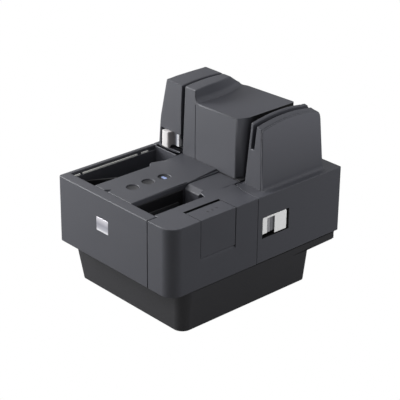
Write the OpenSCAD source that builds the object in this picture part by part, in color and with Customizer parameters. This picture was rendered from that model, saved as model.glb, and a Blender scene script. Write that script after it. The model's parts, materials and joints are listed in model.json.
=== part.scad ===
// Desktop cheque scanner with a U-shaped document track.
// Documents stand in the right-hand feed pocket, run back between the middle and
// right towers, turn round the back and come forward into the left-hand pocket.
// X is to the right, Y to the rear, Z up; the origin is on the table under the
// middle of the case.

/* [Case] */
// Width of the case over both side panels
case_w = 220; // [212:1:232]
// Depth of the case from front to rear
case_d = 296; // [290:1:306]
// Height of the deck above the table
deck_z = 156; // [152:1:166]
// Height of the lower edge of the case
skirt_z = 63; // [61:0.5:66]
// Wall of the moulded covers
wall = 2.5; // [2:0.1:2.9]
// Radius of the front right corner
corner_r = 18; // [12:1:22]
// Clearance between neighbouring fixed and moving mouldings
seam = 0.3; // [0.3:0.05:0.5]

/* [Base] */
// Inset of the base sides at the table
tub_side_inset = 11; // [9:0.5:13]
// Inset of the base front at the table
tub_front_inset = 27; // [24:0.5:30]
// Inset of the base rear at the table
tub_rear_inset = 50; // [46:0.5:54]
// Height of the lip under the rear overhang
lip_h = 12; // [10:0.5:13]
// Wall of the base
tub_wall = 3; // [2.5:0.1:3.5]
// Height of the rubber feet
foot_h = 2; // [1.5:0.1:3]
// Radius of a rubber foot
foot_r = 8; // [6:0.5:10]

/* [Deck layout] */
// Width of the front rim
front_rim = 16; // [14:0.5:18]
// Width of the left rim
left_rim = 6.5; // [5.5:0.5:8]
// Width of the eject pocket
eject_w = 48.5; // [44:0.5:52]
// Width of the console between the pockets
console_w = 72; // [68:0.5:76]
// Width of the feed block behind the feed pocket
feed_w = 39.4; // [36:0.2:42]
// Clear width of the document track
track_w = 4.2; // [4.1:0.1:4.6]
// Height of the track floor above the table
track_z = 68; // [67:0.5:70]
// Slab of the deck mouldings
deck_t = 4; // [3:0.2:4.6]

/* [Towers] */
// Distance from the rear of the case to the tower backs
tower_rear = 23; // [21:0.5:26]
// Depth of the outer towers at the deck
tower_d = 110; // [104:1:114]
// Crown height of the left tower and the middle column
left_top_z = 257; // [250:1:262]
// Crown height of the card slot rib
right_top_z = 248.3; // [244:0.5:252]
// Height of the middle tower beside the track
low_top_z = 238.6; // [234:0.2:242]
// Crown radius of the right tower top
crown_r = 208; // [180:2:240]
// Width of the raised column of the middle tower
column_w = 25.5; // [20:0.5:28]
// Card slot width
card_w = 5.4; // [4.5:0.1:6]
// Height of the card slot floor above the table
card_z = 207; // [200:1:214]
// Rib between the track and the card slot
rib_t = 4.4; // [3.8:0.2:5]

/* [Covers and latches] */
// Distance of the cover hinges from the sides of the case
hinge_in = 5.5; // [5.2:0.1:6]
// Radius of the cover hinge pins
pin_r = 1.5; // [1.2:0.1:1.6]
// Running clearance on pins and shafts
fit = 0.05; // [0.02:0.01:0.08]
// Depth of the right cover along the side
right_cover_d = 151; // [146:1:154]
// Depth of the left cover along the side
left_cover_d = 136; // [133:1:139]
// Length of the right latch window
latch_w = 47.2; // [44:0.4:52]
// Height of the right latch window
latch_h = 29; // [26:0.5:32]
// Height of the right latch window above the table
latch_z = 97; // [94:0.5:102]
// Length of the ink cover
ink_l = 59; // [54:0.5:62]
// Width of the ink cover on the deck
ink_w = 32.5; // [30:0.5:35]
// Height of the ink cover on the side
ink_h = 52.5; // [48:0.5:56]
// Distance from the front of the case to the ink cover
ink_y = 48; // [45:0.5:50]
// Finger slit beside the ink cover
slit_w = 4.6; // [3.6:0.2:5.6]

/* [Buttons] */
// Radius of a button
button_r = 7.8; // [6.5:0.1:8.5]
// Travel of a button
button_travel = 1.2; // [0.8:0.1:1.5]
// Distance between the buttons
button_pitch = 25.5; // [22:0.5:28]
// Distance from the front of the case to the first button
button_y = 49; // [44:0.5:52]

/* [Transport] */
// Radius of a drive roller
roller_r = 10; // [9:0.2:10.6]
// Radius of a pinch roller
pinch_r = 6; // [5:0.2:6.6]
// Radius of a drive shaft
shaft_r = 3; // [2.5:0.1:3.5]
// How far a drive roller stands into the track
nip = 1.7; // [1.5:0.05:1.8]
// Free gap between a drive roller and its pinch roller
nip_gap = 0.4; // [0.35:0.05:0.6]
// Height of a roller tyre
tyre_h = 12; // [10:0.5:14]
// Thickness of the steel frame plate
plate_t = 2; // [1.5:0.1:2.5]
// Radius of a shaft pulley
pulley_r = 8; // [7:0.2:9]
// Thickness of the drive belt
belt_t = 1.2; // [1:0.1:1.4]

/* [Hidden] */
$fn = 48;
eps = 0.01;
xr = case_w / 2;
xl = -xr;
yf = -case_d / 2;
yr = -yf;

// Deck layout, from the left
eject_x0 = xl + left_rim;
core_x0 = eject_x0 + eject_w;
console_x1 = core_x0 + console_w;
core_x1 = console_x1 + feed_w;
track_xr = core_x1 + track_w;
track_xl = core_x0 - track_w;
pocket_y0 = yf + front_rim;
front_seam_x = track_xr + 5.7;
front_joint = seam + 1;
ink_gap = seam + 0.4;

// Towers
tower_y1 = yr - tower_rear;
tower_y0 = tower_y1 - tower_d;
core_y0 = tower_y0 + 1;
core_y1 = tower_y1 - 15;
core_r = 20;
turn_y = core_y1 + track_w;
rear_lean = 0.09;
tower_z0 = deck_z + 0.4;
column_x1 = core_x0 + column_w;
track_lean = 0.05;
left_crown_r = crown_r + 92;
slope_y0 = tower_y0 + 63.5;
slope_y1 = tower_y0 + 98;
slope_z0 = left_top_z + 2;
slope_z1 = left_top_z - 21.2;

// Hinge lines of the two transport covers
hinge_x = xr - hinge_in;
hinge_y = yr - hinge_in;
right_seam_y = yr - right_cover_d;
left_seam_y = yr - left_cover_d;
right_swing_r = sqrt(pow(hinge_in, 2) + pow(hinge_y - right_seam_y - seam, 2));
left_swing_r = sqrt(pow(hinge_in, 2) + pow(hinge_y - left_seam_y - seam, 2));
cover_z0 = skirt_z + 0.4;
slope_in = 0.112;
tower_in_x = track_xr + 5.1;
slope_out = 0.026;
right_out_x = xr - 11.7;
left_out_x = xl + 9;

// Frame, shafts and rollers
floor_t = 2;
plate_z = track_z - 10;
belt_z0 = plate_z + plate_t + 1;
belt_h = 4;
drive_x_r = core_x1 - roller_r + nip;
drive_x_l = core_x0 + roller_r - nip;
pinch_x_r = core_x1 + nip + nip_gap + pinch_r;
pinch_x_l = core_x0 - nip - nip_gap - pinch_r;
drive_y = [tower_y0 + 23, tower_y0 + 69, tower_y0 + 25];
drive_pos = [[drive_x_r, drive_y[0]], [drive_x_r, drive_y[1]], [drive_x_l, drive_y[2]]];
tyre_z = [track_z + 16, track_z + 60];
shaft_top = deck_z - wall + 1;
feed_roll_x = track_xr + roller_r - 1.6;
feed_roll_y = right_seam_y - 11;
pick_y = feed_roll_y - 26;
feed_boss_h = 6;
feed_shaft_top = deck_z - wall - 0.5;
retard_r = 8;
retard_x = feed_roll_x - roller_r - 0.5 - retard_r;
motor_pos = [2, core_y0 + 15];
motor_pulley_r = 5;
scan_y = (drive_y[0] + drive_y[1]) / 2;
scan_d = 22;
scan_t = 18;
scan_z0 = track_z + 3;
scan_h = 82;
glass_t = 2;

// Ink bay
ink_y0 = yf + ink_y;
ink_y1 = ink_y0 + ink_l;
ink_x0 = xr - ink_w;
ink_z0 = deck_z - ink_h;
ink_skin = xr - 0.4;
ink_pin_r = 0.8;
ink_barrel_r = 1.5;
ink_pin_x = ink_skin - ink_barrel_r;
ink_pin_z = ink_z0 + ink_barrel_r + 0.3;

// Base
tub_x = xr - tub_side_inset;
tub_y0 = yf + tub_front_inset;
tub_y1 = yr - tub_rear_inset;
lip_x = xr - 1.2;
lip_y = yr - 3;
lip_z = skirt_z - lip_h;
tub_top_y0 = tub_y0 - 6.6;
tub_top_r = corner_r - 1.2;
bore_r = pin_r + fit;

charcoal = "#55565a";
dark_grey = "#3a3b3f";
black_grey = "#232427";
steel = "#b4b6ba";
silver = "#d5d6d9";
rubber = "#1c1c1e";

// A box between two corners
module box(x0, x1, y0, y1, z0, z1) {
    translate([x0, y0, z0]) cube([x1 - x0, y1 - y0, z1 - z0]);
}

// An upright round bar
module rod(x, y, z0, z1, r) {
    translate([x, y, z0]) cylinder(h = z1 - z0, r = r);
}

// What lies outside a rounded upright corner at (x, y); sx and sy point outwards
module corner_waste(x, y, sx, sy, r, z0, z1) {
    difference() {
        translate([x - (sx > 0 ? r : 1), y - (sy > 0 ? r : 1), z0])
            cube([r + 1, r + 1, z1 - z0]);
        rod(x - sx * r, y - sy * r, z0 - 1, z1 + 1, r);
    }
}

// A profile in (Y, Z) carried along X, and one in (X, Z) carried along Y
module along_x(x0, x1, points) {
    translate([x0, 0, 0]) rotate([90, 0, 90]) linear_extrude(x1 - x0) polygon(points);
}

module along_y(y0, y1, points) {
    translate([0, y1, 0]) rotate([90, 0, 0]) linear_extrude(y1 - y0) polygon(points);
}

// A large round crown about an axis along X, tilted down to the right by lean degrees
module crown(x, y, z, r, lean) {
    translate([x, y, z]) rotate([0, lean, 0]) translate([0, 0, -r])
        rotate([0, 90, 0]) cylinder(h = 2 * case_w, r = r, center = true, $fn = 180);
}

// Points of an arc, for outlines
function arc(cx, cy, r, a0, a1, n) =
    [for (i = [0:n]) let (a = a0 + (a1 - a0) * i / n) [cx + r * cos(a), cy + r * sin(a)]];

// One level of the tapered base: its four rounded corners
module tub_level(x, y0, y1, z, r_front_right, r) {
    rod(x - r_front_right, y0 + r_front_right, z, z + eps, r_front_right, $fn = 32);
    rod(-x + r, y0 + r, z, z + eps, r, $fn = 32);
    rod(x - r, y1 - r, z, z + eps, r, $fn = 32);
    rod(-x + r, y1 - r, z, z + eps, r, $fn = 32);
}

module tub_body(inset) {
    top_r = tub_top_r - inset;
    hull() {
        tub_level(tub_x - inset, tub_y0 + inset, tub_y1 - inset, foot_h + inset,
            tub_top_r - 3 - inset, 5 - inset / 2);
        tub_level(lip_x - inset, tub_top_y0 + inset, tub_y1 - 2 - inset,
            skirt_z - eps, top_r, 5 - inset / 2);
    }
}

module tub_lip(inset) {
    hull() {
        tub_level(lip_x - 1.9 - inset, tub_y1 - 40 + inset, lip_y - inset, lip_z + inset,
            5 - inset / 2, 5 - inset / 2);
        tub_level(lip_x - inset, tub_y1 - 40 + inset, lip_y - inset, skirt_z - eps,
            5 - inset / 2, 5 - inset / 2);
    }
}

plate_x = tub_x - 6;
plate_y0 = tub_y0 + 6;
plate_y1 = tub_y1 - 6;
post_pos = [for (x = [-plate_x + 8, plate_x - 8], y = [plate_y0 + 8, plate_y1 - 8]) [x, y]];
post_r = 4.5;
screw_r = 1.5;
board_x0 = -plate_x + 16;
board_x1 = board_x0 + 84;
board_y0 = plate_y0 + 60;
board_y1 = tub_y1 - 7;
board_z = foot_h + tub_wall + 10;
board_t = 1.6;
board_posts = [for (x = [board_x0 + 6, board_x1 - 6], y = [board_y0 + 6, board_y1 - 22]) [x, y]];
socket_z0 = board_z + board_t;
inlet_x = board_x0 + 16;
usb_x = board_x0 + 46;
socket_y1 = tub_y1 - 1.5;

module base_tub() {
    color(dark_grey) difference() {
        union() {
            difference() {
                tub_body(0);
                translate([0, 0, 1]) tub_body(tub_wall);
                translate([0, 0, 1]) tub_lip(tub_wall);
            }
            difference() {
                tub_lip(0);
                translate([0, 0, 1]) tub_lip(tub_wall);
                translate([0, 0, 1]) tub_body(tub_wall);
            }
            for (p = post_pos) rod(p[0], p[1], foot_h + 1, plate_z, post_r);
            for (p = board_posts) rod(p[0], p[1], foot_h + 1, board_z, 3);
            for (s = [-1, 1]) rod(s * hinge_x, hinge_y, lip_z + 1, skirt_z, 2.4);
        }
        for (p = post_pos) rod(p[0], p[1], plate_z - 12, plate_z + 1, screw_r);
        for (s = [-1, 1]) rod(s * hinge_x, hinge_y, lip_z + 2, skirt_z + 1, bore_r);
        box(inlet_x - 6, inlet_x + 6, tub_y1 - 8, tub_y1 + 2, socket_z0 - 0.2, socket_z0 + 12.2);
        box(usb_x - 6.8, usb_x + 6.8, tub_y1 - 8, tub_y1 + 2, socket_z0 - 0.2, socket_z0 + 11.7);
    }
}

module rubber_feet() {
    color(rubber) for (sx = [-1, 1], y = [tub_y0 + 18, tub_y1 - 14])
        rod(sx * (tub_x - 16), y, 0, foot_h, foot_r);
}

bush_r = 5.5;
feed_pos = [[feed_roll_x, feed_roll_y], [feed_roll_x, pick_y]];
shaft_pos = concat(drive_pos, feed_pos);
motor_r = 21;
motor_shaft_r = 1.5;
feed_motor_r = 17;
feed_motor_h = 32;
feed_shaft_z = plate_z - 12;

module frame_plate() {
    color(steel) difference() {
        box(-plate_x, plate_x, plate_y0, plate_y1, plate_z, plate_z + plate_t);
        for (p = post_pos) rod(p[0], p[1], plate_z - 1, plate_z + plate_t + 1, screw_r + 0.2);
        for (p = shaft_pos) rod(p[0], p[1], plate_z - 1, plate_z + plate_t + 1, bush_r - 1.5);
        rod(motor_pos[0], motor_pos[1], plate_z - 1, plate_z + plate_t + 1, 6);
    }
}

module shaft_bushes() {
    color("#c9a869") for (p = shaft_pos) difference() {
        union() {
            rod(p[0], p[1], plate_z, plate_z + plate_t, bush_r - 1.5);
            rod(p[0], p[1], plate_z - 2, plate_z, bush_r);
        }
        rod(p[0], p[1], plate_z - 3, plate_z + plate_t + 1, shaft_r + fit);
    }
}

// Mouldings of the fixed case

module main_case() {
    seam_x = front_seam_x - front_joint / 2;
    end_y = left_seam_y - seam / 2;
    rim_z = deck_z - 16;
    color(charcoal) difference() {
        union() {
            box(xl, seam_x, yf, yf + wall, skirt_z, deck_z);
            box(xl, xl + wall, yf, end_y, skirt_z, deck_z);
            box(xl, seam_x, yf, pocket_y0, deck_z - wall, deck_z);
            box(xl, eject_x0, yf, end_y, deck_z - wall, deck_z);
            box(xl, seam_x, pocket_y0 - wall, pocket_y0, rim_z, deck_z);
            box(eject_x0 - wall, eject_x0, pocket_y0 - wall, end_y, rim_z, deck_z);
            box(xl, track_xr, yf, tub_top_y0 + 8, skirt_z, skirt_z + wall);
            box(track_xr - 1, seam_x, yf, pocket_y0, skirt_z, skirt_z + wall);
            box(xl, xl + 9, yf, end_y, skirt_z, skirt_z + wall);
            for (x = [xl + wall + 10, core_x0, console_x1])
                box(x, x + wall, yf, pocket_y0 - 1, skirt_z, deck_z - 1);
        }
        corner_waste(xl, yf, -1, -1, 4, skirt_z - 1, deck_z + 1);
        box(badge_x, badge_x + badge_w, yf - 1, yf + badge_t, badge_z, badge_z + badge_h);
    }
}

guide_top = 226;
rear_x0 = track_xl + seam;
rear_x1 = track_xr - seam;

module rear_cover() {
    color(charcoal) difference() {
        union() {
            box(rear_x0, rear_x1, yr - wall, yr, skirt_z, deck_z);
            box(rear_x0, rear_x1, tower_y1 - 1, yr, deck_z - wall, deck_z);
            box(rear_x0, rear_x1, lip_y - 8, yr, skirt_z, skirt_z + wall);
            intersection() {
                box(rear_x0, rear_x1, core_y1 - core_r, tower_y1, track_z - 3, guide_top + 20);
                along_x(rear_x0 - 1, rear_x1 + 1, [
                    [core_y1 - 40, track_z - 4], [tower_y1, track_z - 4], [tower_y1, deck_z],
                    [tower_y1 - rear_lean * (guide_top - deck_z), guide_top],
                    [core_y1 - 40, guide_top]]);
            }
        }
        core_plan(track_w, track_z - 4, guide_top + 21);
        tower_plan(-0.6, cap_z - 0.6, guide_top + 21);
        along_y(core_y1 - core_r - 1, yr, [
            [rear_x0 - 1, deck_z], [rear_x0, deck_z],
            [rear_x0 + track_lean * (left_top_z - deck_z), left_top_z], [rear_x0 - 1, left_top_z]]);
        box(rear_x0 + wall + 3, rear_x1 - wall - 3, turn_y + wall, tower_y1 - wall,
            track_z - 4, guide_top - wall - 6);
        box(rear_x0 - 1, rear_x1 + 1, core_y1 - core_r - 1, core_y1 - 8, guide_top - 12,
            guide_top + 21);
    }
}

// Plan of the inner track housing, grown by a margin
module core_plan(grow, z0, z1) {
    difference() {
        box(core_x0 - grow, core_x1 + grow, core_y0 - 60, core_y1 + grow, z0, z1);
        corner_waste(core_x1 + grow, core_y1 + grow, 1, 1, core_r + grow, z0 - 1, z1 + 1);
        corner_waste(core_x0 - grow, core_y1 + grow, -1, 1, core_r + grow, z0 - 1, z1 + 1);
    }
}

module shaft_window(p, side, r) {
    for (z = tyre_z)
        box(p[0] - (side < 0 ? r + 2 : 0), p[0] + (side > 0 ? r + 2 : 0),
            p[1] - r + 1, p[1] + r - 1, z - 1.5, z + tyre_h + 1.5);
}

track_posts = [
    [core_x0 + 9, plate_y1 - 8], [core_x0 + 62, plate_y1 - 6],
    [core_x0 + 29, core_y0 + 3], [core_x1 - 30, core_y0 + 3]];

module inner_track() {
    color(dark_grey) difference() {
        union() {
            for (p = track_posts) rod(p[0], p[1], plate_z + plate_t, track_z - 1, 3);
            intersection() {
                core_plan(0, track_z - floor_t, deck_z);
                box(xl, xr, core_y0, yr, track_z - floor_t, deck_z);
            }
            intersection() {
                core_plan(track_w - seam, track_z - floor_t, track_z);
                box(xl, xr, core_y0, yr, track_z - floor_t, track_z);
            }
        }
        intersection() {
            core_plan(-wall, track_z, deck_z - wall);
            box(xl, xr, core_y0 + wall, yr, track_z, deck_z - wall);
        }
        for (i = [0:2]) {
            shaft_window(drive_pos[i], i < 2 ? 1 : -1, roller_r);
            rod(drive_pos[i][0], drive_pos[i][1], track_z - 3, deck_z - wall + 1.2,
                shaft_r + fit);
        }
        rod(motor_pos[0], motor_pos[1], track_z - 3, track_z + 1, motor_pulley_r + 1);
        box(core_x1 - wall - 1, core_x1 + 1, scan_y - scan_d / 2 - seam,
            scan_y + scan_d / 2 + seam, scan_z0, scan_z0 + scan_h);
        box(core_x0 - 1, core_x0 + 1, scan_y - scan_d / 2, scan_y + scan_d / 2,
            scan_z0, scan_z0 + scan_h);
    }
}

// Middle tower: a raised column on the left and a lower hood that rises to the rear

hood_front_x = core_x1 - 9.4;
hood_x = core_x1 - 4.7;
hood_lean = 0.035;
hood_tilt = 0.017;
hood_y1 = turn_y - 0.5;
cap_z = deck_z + 46;
fillet_r = 8;

// Height of the low roof at x, and the side of the hood at height z
function hood_z(x) = low_top_z + hood_tilt * (x - hood_x);
function hood_side(z) = hood_x + hood_lean * (z - deck_z);

// The column's right side runs straight, then sweeps to the left round a large arc
column_bend_y = core_y0 + 30;
column_end_y = core_y0 + 93;
column_turn_r = 123.4;

module tower_plan(inset, z0, z1) {
    rear_r = 5;
    right = hood_front_x + 8 - inset;
    difference() {
        translate([0, 0, z0]) linear_extrude(z1 - z0) polygon([
            [core_x0 + inset, core_y0 + inset],
            [hood_front_x - 0.63 * inset, core_y0 + inset],
            [right, core_y0 + 16.5 + 0.23 * inset],
            [right, hood_y1 - inset],
            [core_x0 + 24, hood_y1 - 2.5 - inset],
            [core_x0 + inset, core_y1 - 6 - inset]]);
        corner_waste(right, hood_y1 - inset, 1, 1, rear_r, z0 - 1, z1 + 1);
    }
}

module hood_top(drop) {
    along_y(core_y0 - 1, yr, [
        [core_x0 - 1, deck_z - 1], [core_x1, deck_z - 1], [core_x1, hood_z(core_x1) - drop],
        [core_x0 - 1, hood_z(core_x0 - 1) - drop]]);
}

// Column above the roof, before its top is cut
module column_prism(drop) {
    x1 = column_x1 - drop;
    box(core_x0 - 1, x1, core_y0 - 1, column_bend_y, low_top_z - 8, slope_z0 + 2);
    intersection() {
        rod(x1 - column_turn_r, column_bend_y, low_top_z - 8, slope_z0 + 2, column_turn_r,
            $fn = 180);
        box(core_x0 - 1, x1, column_bend_y, column_end_y - drop, low_top_z - 9, slope_z0 + 3);
    }
}

// Concave fillet at the foot of the column
module column_fillet() {
    z0 = hood_z(column_x1 - 6) - 0.1;
    difference() {
        box(column_x1 - 1, column_x1 + fillet_r, core_y0 - 1, column_bend_y, z0 - 1,
            z0 + fillet_r);
        translate([column_x1 + fillet_r, core_y0 - 2, z0 + fillet_r]) rotate([-90, 0, 0])
            cylinder(h = column_bend_y - core_y0 + 3, r = fillet_r, $fn = 64);
    }
    intersection() {
        translate([column_x1 - column_turn_r, column_bend_y, z0])
            rotate_extrude($fn = 180) translate([column_turn_r, 0]) difference() {
                translate([-1, -1]) square([fillet_r + 1, fillet_r + 1]);
                translate([fillet_r, fillet_r]) circle(r = fillet_r, $fn = 64);
            }
        box(core_x0 - 1, core_x1, column_bend_y, column_end_y, z0 - 2, z0 + fillet_r + 1);
    }
}

module column_top(drop) {
    intersection() {
        crown(0, tower_y0 + 40, left_top_z - drop, left_crown_r, 0);
        along_x(core_x0 - 2, core_x1, [
            [core_y0 - 2, deck_z], [yr, deck_z], [yr, slope_z1 - drop],
            [slope_y1 - drop, slope_z1 - drop], [slope_y0 - drop, slope_z0],
            [core_y0 - 2, slope_z0]]);
        union() {
            column_prism(drop);
            if (drop == 0) column_fillet();
        }
    }
}

module tower_block(inset) {
    low = deck_z - (inset > 0 ? 1 : 0);
    intersection() {
        union() {
            intersection() {
                tower_plan(inset, low, cap_z + 1);
                core_plan(-0.4 - inset, low, cap_z);
            }
            tower_plan(inset, cap_z + (inset > 0 ? wall : 0), left_top_z + 1);
            if (inset > 0) intersection() {
                tower_plan(inset, low, cap_z + wall + 1);
                core_plan(-0.4 - inset, low, cap_z + wall + 1);
            }
        }
        along_y(core_y0 - 1, yr, [
            [core_x0 + inset, deck_z - 2], [hood_x - inset, deck_z - 2], [hood_x - inset, deck_z],
            [hood_side(left_top_z) - inset, left_top_z],
            [core_x0 + inset + track_lean * (left_top_z - deck_z), left_top_z],
            [core_x0 + inset, deck_z]]);
        union() {
            hood_top(inset);
            column_top(inset);
        }
    }
}

module center_cover() {
    color(charcoal) difference() {
        tower_block(0);
        intersection() {
            tower_block(wall);
            box(core_x0, column_x1 - wall, core_y0, yr, deck_z - 1, left_top_z);
        }
        intersection() {
            tower_block(wall);
            box(column_x1 + seam, xr, core_y0, yr, deck_z - 1, low_top_z);
        }
        // the joint line between the column moulding and the hood moulding
        box(column_x1 - 0.4, column_x1 + 0.4, core_y0 - 1, core_y0 + 0.9, deck_z,
            low_top_z - 4);
    }
}

console_panel_h = 2.3;
console_tongue = 7;
notch_x = core_x0 + 21;

module console_cover() {
    panel_y = core_y0 - 54;
    panel_y1 = core_y0 - seam;
    color(charcoal) difference() {
        union() {
            box(core_x0, console_x1, pocket_y0 + seam, panel_y1, deck_z - deck_t, deck_z);
            // the rear panel rises to the towers and draws in on the right
            intersection() {
                translate([0, 0, deck_z - deck_t]) linear_extrude(deck_t + 9) polygon([
                    [console_x1, panel_y - 1], [console_x1 - 4.5, panel_y1],
                    [core_x0 + 0.5, panel_y1], [core_x0 + 0.5, core_y0 - 31],
                    [core_x0 - console_tongue, core_y0 - 48],
                    [core_x0 - console_tongue + 1, core_y0 - 51.5], [core_x0 + 0.5, panel_y - 3]]);
                along_x(core_x0 - console_tongue - 1, console_x1 + 1, [
                    [panel_y - 4, deck_z - deck_t - 1], [panel_y - 4, deck_z],
                    [panel_y, deck_z], [panel_y1, deck_z + console_panel_h],
                    [panel_y1, deck_z - deck_t - 1]]);
            }
            for (x = [core_x0, console_x1 - 2]) {
                box(x, x + 2, pocket_y0 + seam, core_y0 - seam, skirt_z + wall,
                    deck_z - deck_t + 1);
                box(x, x + 2, plate_y0 + 4, core_y0 - seam, plate_z + plate_t,
                    skirt_z + wall + 1);
            }
            for (i = [0:1]) rod(board_post(i)[0], board_post(i)[1], key_board_z + board_t,
                deck_z - deck_t + 1, 2.5);
        }
        for (i = [0:2]) button_hole(i);
        translate([notch_x, pocket_y0 + seam - 1, deck_z - 2.5]) linear_extrude(4)
            polygon([[-3, 0], [5.5, 0], [2.5, 8.5]]);
    }
}

button_x = console_x1 - 36.5;
function button_at(i) = [button_x + (i == 2 ? 2 : 0), yf + button_y + i * button_pitch];

switch_h = 3.6;
key_board_z = deck_z - deck_t - 3.6 - button_travel - switch_h - board_t;
function board_post(i) = [button_x + (i == 0 ? -11 : 13),
    yf + button_y + (i + 0.5) * button_pitch];

// Circuit board with one switch under each button
module button_board() {
    color("#2f6b45") {
        box(button_x - 14, button_x + 16, button_at(0)[1] - 10, button_at(2)[1] + 10,
            key_board_z, key_board_z + board_t);
        for (i = [0:2]) translate([button_at(i)[0] - 3, button_at(i)[1] - 3,
            key_board_z + board_t - eps]) cube([6, 6, switch_h]);
    }
}

module button_hole(i) {
    p = button_at(i);
    rod(p[0], p[1], deck_z - deck_t - 1, deck_z + console_panel_h + 2, button_r + seam);
}

module button_cap(i) {
    p = button_at(i);
    difference() {
        union() {
            rod(p[0], p[1], deck_z - deck_t - 2, deck_z - 0.4, button_r);
            rod(p[0], p[1], deck_z - deck_t - 3.5, deck_z - deck_t - 2, button_r - 3);
        }
        translate([p[0], p[1], deck_z - 2 + 40]) sphere(r = 40, $fn = 96);
    }
}

lamp_w = 6.5;
lamp_d = 2.4;

module enter_button() { color(dark_grey) button_cap(0); }

module clear_button() { color(dark_grey) button_cap(1); }

module power_button() {
    p = button_at(2);
    color(dark_grey) difference() {
        button_cap(2);
        box(p[0] - lamp_w / 2 - fit, p[0] + lamp_w / 2 + fit, p[1] - lamp_d / 2 - fit,
            p[1] + lamp_d / 2 + fit, deck_z - 5, deck_z);
    }
}

module power_light() {
    p = button_at(2);
    color("#4c7fd0") box(p[0] - lamp_w / 2, p[0] + lamp_w / 2, p[1] - lamp_d / 2,
        p[1] + lamp_d / 2, deck_z - 5 + fit, deck_z - 1.9);
}

// Cover over the feed side and the ink bay, with the large round front corner

module feed_plan(inset, z0, z1) {
    difference() {
        box(track_xr + inset, xr - inset, yf + inset, right_seam_y + 20, z0, z1);
        corner_waste(xr - inset, yf + inset, 1, -1, corner_r - inset, z0 - 1, z1 + 1);
        box(track_xr - 1, front_seam_x + front_joint / 2 + inset, yf - 1,
            pocket_y0 + seam + inset, z0 - 1, z1 + 1);
        rod(hinge_x, hinge_y, z0 - 1, z1 + 1, right_swing_r + seam + inset, $fn = 180);
    }
}

// Plate over the throat of the track: it follows the feed guide and leaves a narrow slot
module throat_plate() {
    y0 = guide_front_y;
    difference() {
        translate([0, 0, deck_z - 2]) linear_extrude(2) polygon([
            [track_xr + 1, y0 - 9.5], [core_x1 - 9.4, y0 - 5.2], [core_x1 - 9.4, y0 - 0.3],
            [core_x1 - 0.5, y0 + 21.7], [core_x1 + 1.5, y0 + 27],
            [core_x1 + 1.5, right_seam_y + 20], [track_xr + 1, right_seam_y + 20]]);
        rod(hinge_x, hinge_y, deck_z - 3, deck_z + 1, right_swing_r + seam, $fn = 180);
    }
}

module feed_cover() {
    color(charcoal) difference() {
        union() {
            difference() {
                feed_plan(0, skirt_z, deck_z);
                intersection() {
                    feed_plan(wall, skirt_z - 1, deck_z - wall);
                    union() {
                        box(track_xr, xr, yf, yr, skirt_z + wall, deck_z);
                        box(track_xr, lip_x - tub_wall, tub_top_y0 + 8, yr, skirt_z - 2,
                            deck_z);
                    }
                }
            }
            for (p = feed_pos) rod(p[0], p[1], deck_z - wall - feed_boss_h, deck_z - 1, 5.5);
            throat_plate();
        }
        for (p = feed_pos) rod(p[0], p[1], deck_z - wall - feed_boss_h - 1,
            feed_shaft_top + 0.3, shaft_r + fit);
        box(track_xr - 1, track_xr + wall + 1, pick_y - pulley_r - 4,
            feed_roll_y + pulley_r + 4, skirt_z - 1, belt_z0 + belt_h + 1);
        // the opening that the ink cover closes
        box(ink_x0, xr + 1, ink_y0, ink_y1, ink_z0 + 0.1, deck_z + 1);
        translate([xr, 0, ink_z0 + 0.1]) along_y(ink_y0, ink_y1,
            [[-1.6, 0.01], [1, 0.01], [1, -5.5], [0, -4.6]]);
        for (y = [feed_roll_y, pick_y], z = tyre_z)
            box(track_xr - 1, track_xr + wall + 1, y - roller_r + 1, y + roller_r - 1,
                z - 1.5, z + tyre_h + 1.5);
        // bores for the ink cover pin
        translate([ink_pin_x, ink_y0 - 2.2, ink_pin_z]) rotate([-90, 0, 0])
            cylinder(h = ink_l + 4.4, r = ink_pin_r + fit);
    }
}

module ink_cover_pin() {
    color(steel) translate([ink_pin_x, ink_y0 - 2, ink_pin_z]) rotate([-90, 0, 0])
        cylinder(h = ink_l + 4, r = ink_pin_r);
}

module ink_cover() {
    y0 = ink_y0 + ink_gap;
    y1 = ink_y1 - ink_gap;
    color(charcoal) difference() {
        union() {
            box(ink_x0 + slit_w, ink_skin, y0, y1, deck_z - wall, deck_z);
            box(ink_skin - wall, ink_skin, y0, y1, ink_pin_z, deck_z);
            translate([ink_pin_x, y0, ink_pin_z]) rotate([-90, 0, 0])
                cylinder(h = y1 - y0, r = ink_barrel_r);
            box(ink_x0 + slit_w, ink_x0 + slit_w + wall, y0, y1, deck_z - 5, deck_z);
        }
        translate([ink_pin_x, y0 - 1, ink_pin_z]) rotate([-90, 0, 0])
            cylinder(h = y1 - y0 + 2, r = ink_pin_r + fit);
    }
}

bay_x0 = track_xr + wall + 4;
bay_x1 = ink_skin - wall - 2;
bay_z = ink_z0 + 1;

module cartridge_tray() {
    y0 = ink_y0 + 3;
    y1 = min(ink_y1 - 3, pick_y - shaft_r - 1);
    z = plate_z + plate_t;
    color(dark_grey) {
        box(bay_x0, bay_x1, y0, y1, bay_z - 2, bay_z);
        box(bay_x0, bay_x0 + 2, y0, y1, bay_z, bay_z + 12);
        for (y = [y0, y1 - 2]) box(bay_x0, bay_x1, y, y + 2, bay_z, tyre_z[1] - 1.5);
        for (y = [y0 + 4, y1 - 12]) box(bay_x0, plate_x - 3, y, y + 3, z, bay_z - 2);
    }
}

module ink_cartridge() {
    y0 = ink_y0 + 9;
    y1 = min(ink_y1 - 9, pick_y - roller_r);
    x0 = bay_x0 + 2.2;
    color(black_grey) difference() {
        union() {
            box(x0, bay_x1 - 2, y0, y1, bay_z, bay_z + 26);
            box(x0 + 6, x0 + 10, y0 + 6, y1 - 6, bay_z + 26, bay_z + 34);
        }
        translate([x0 + 5, (y0 + y1) / 2, bay_z + 31]) rotate([0, 90, 0]) cylinder(h = 6, r = 2);
    }
}

// Pockets

tray_top = deck_z - 6;

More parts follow.
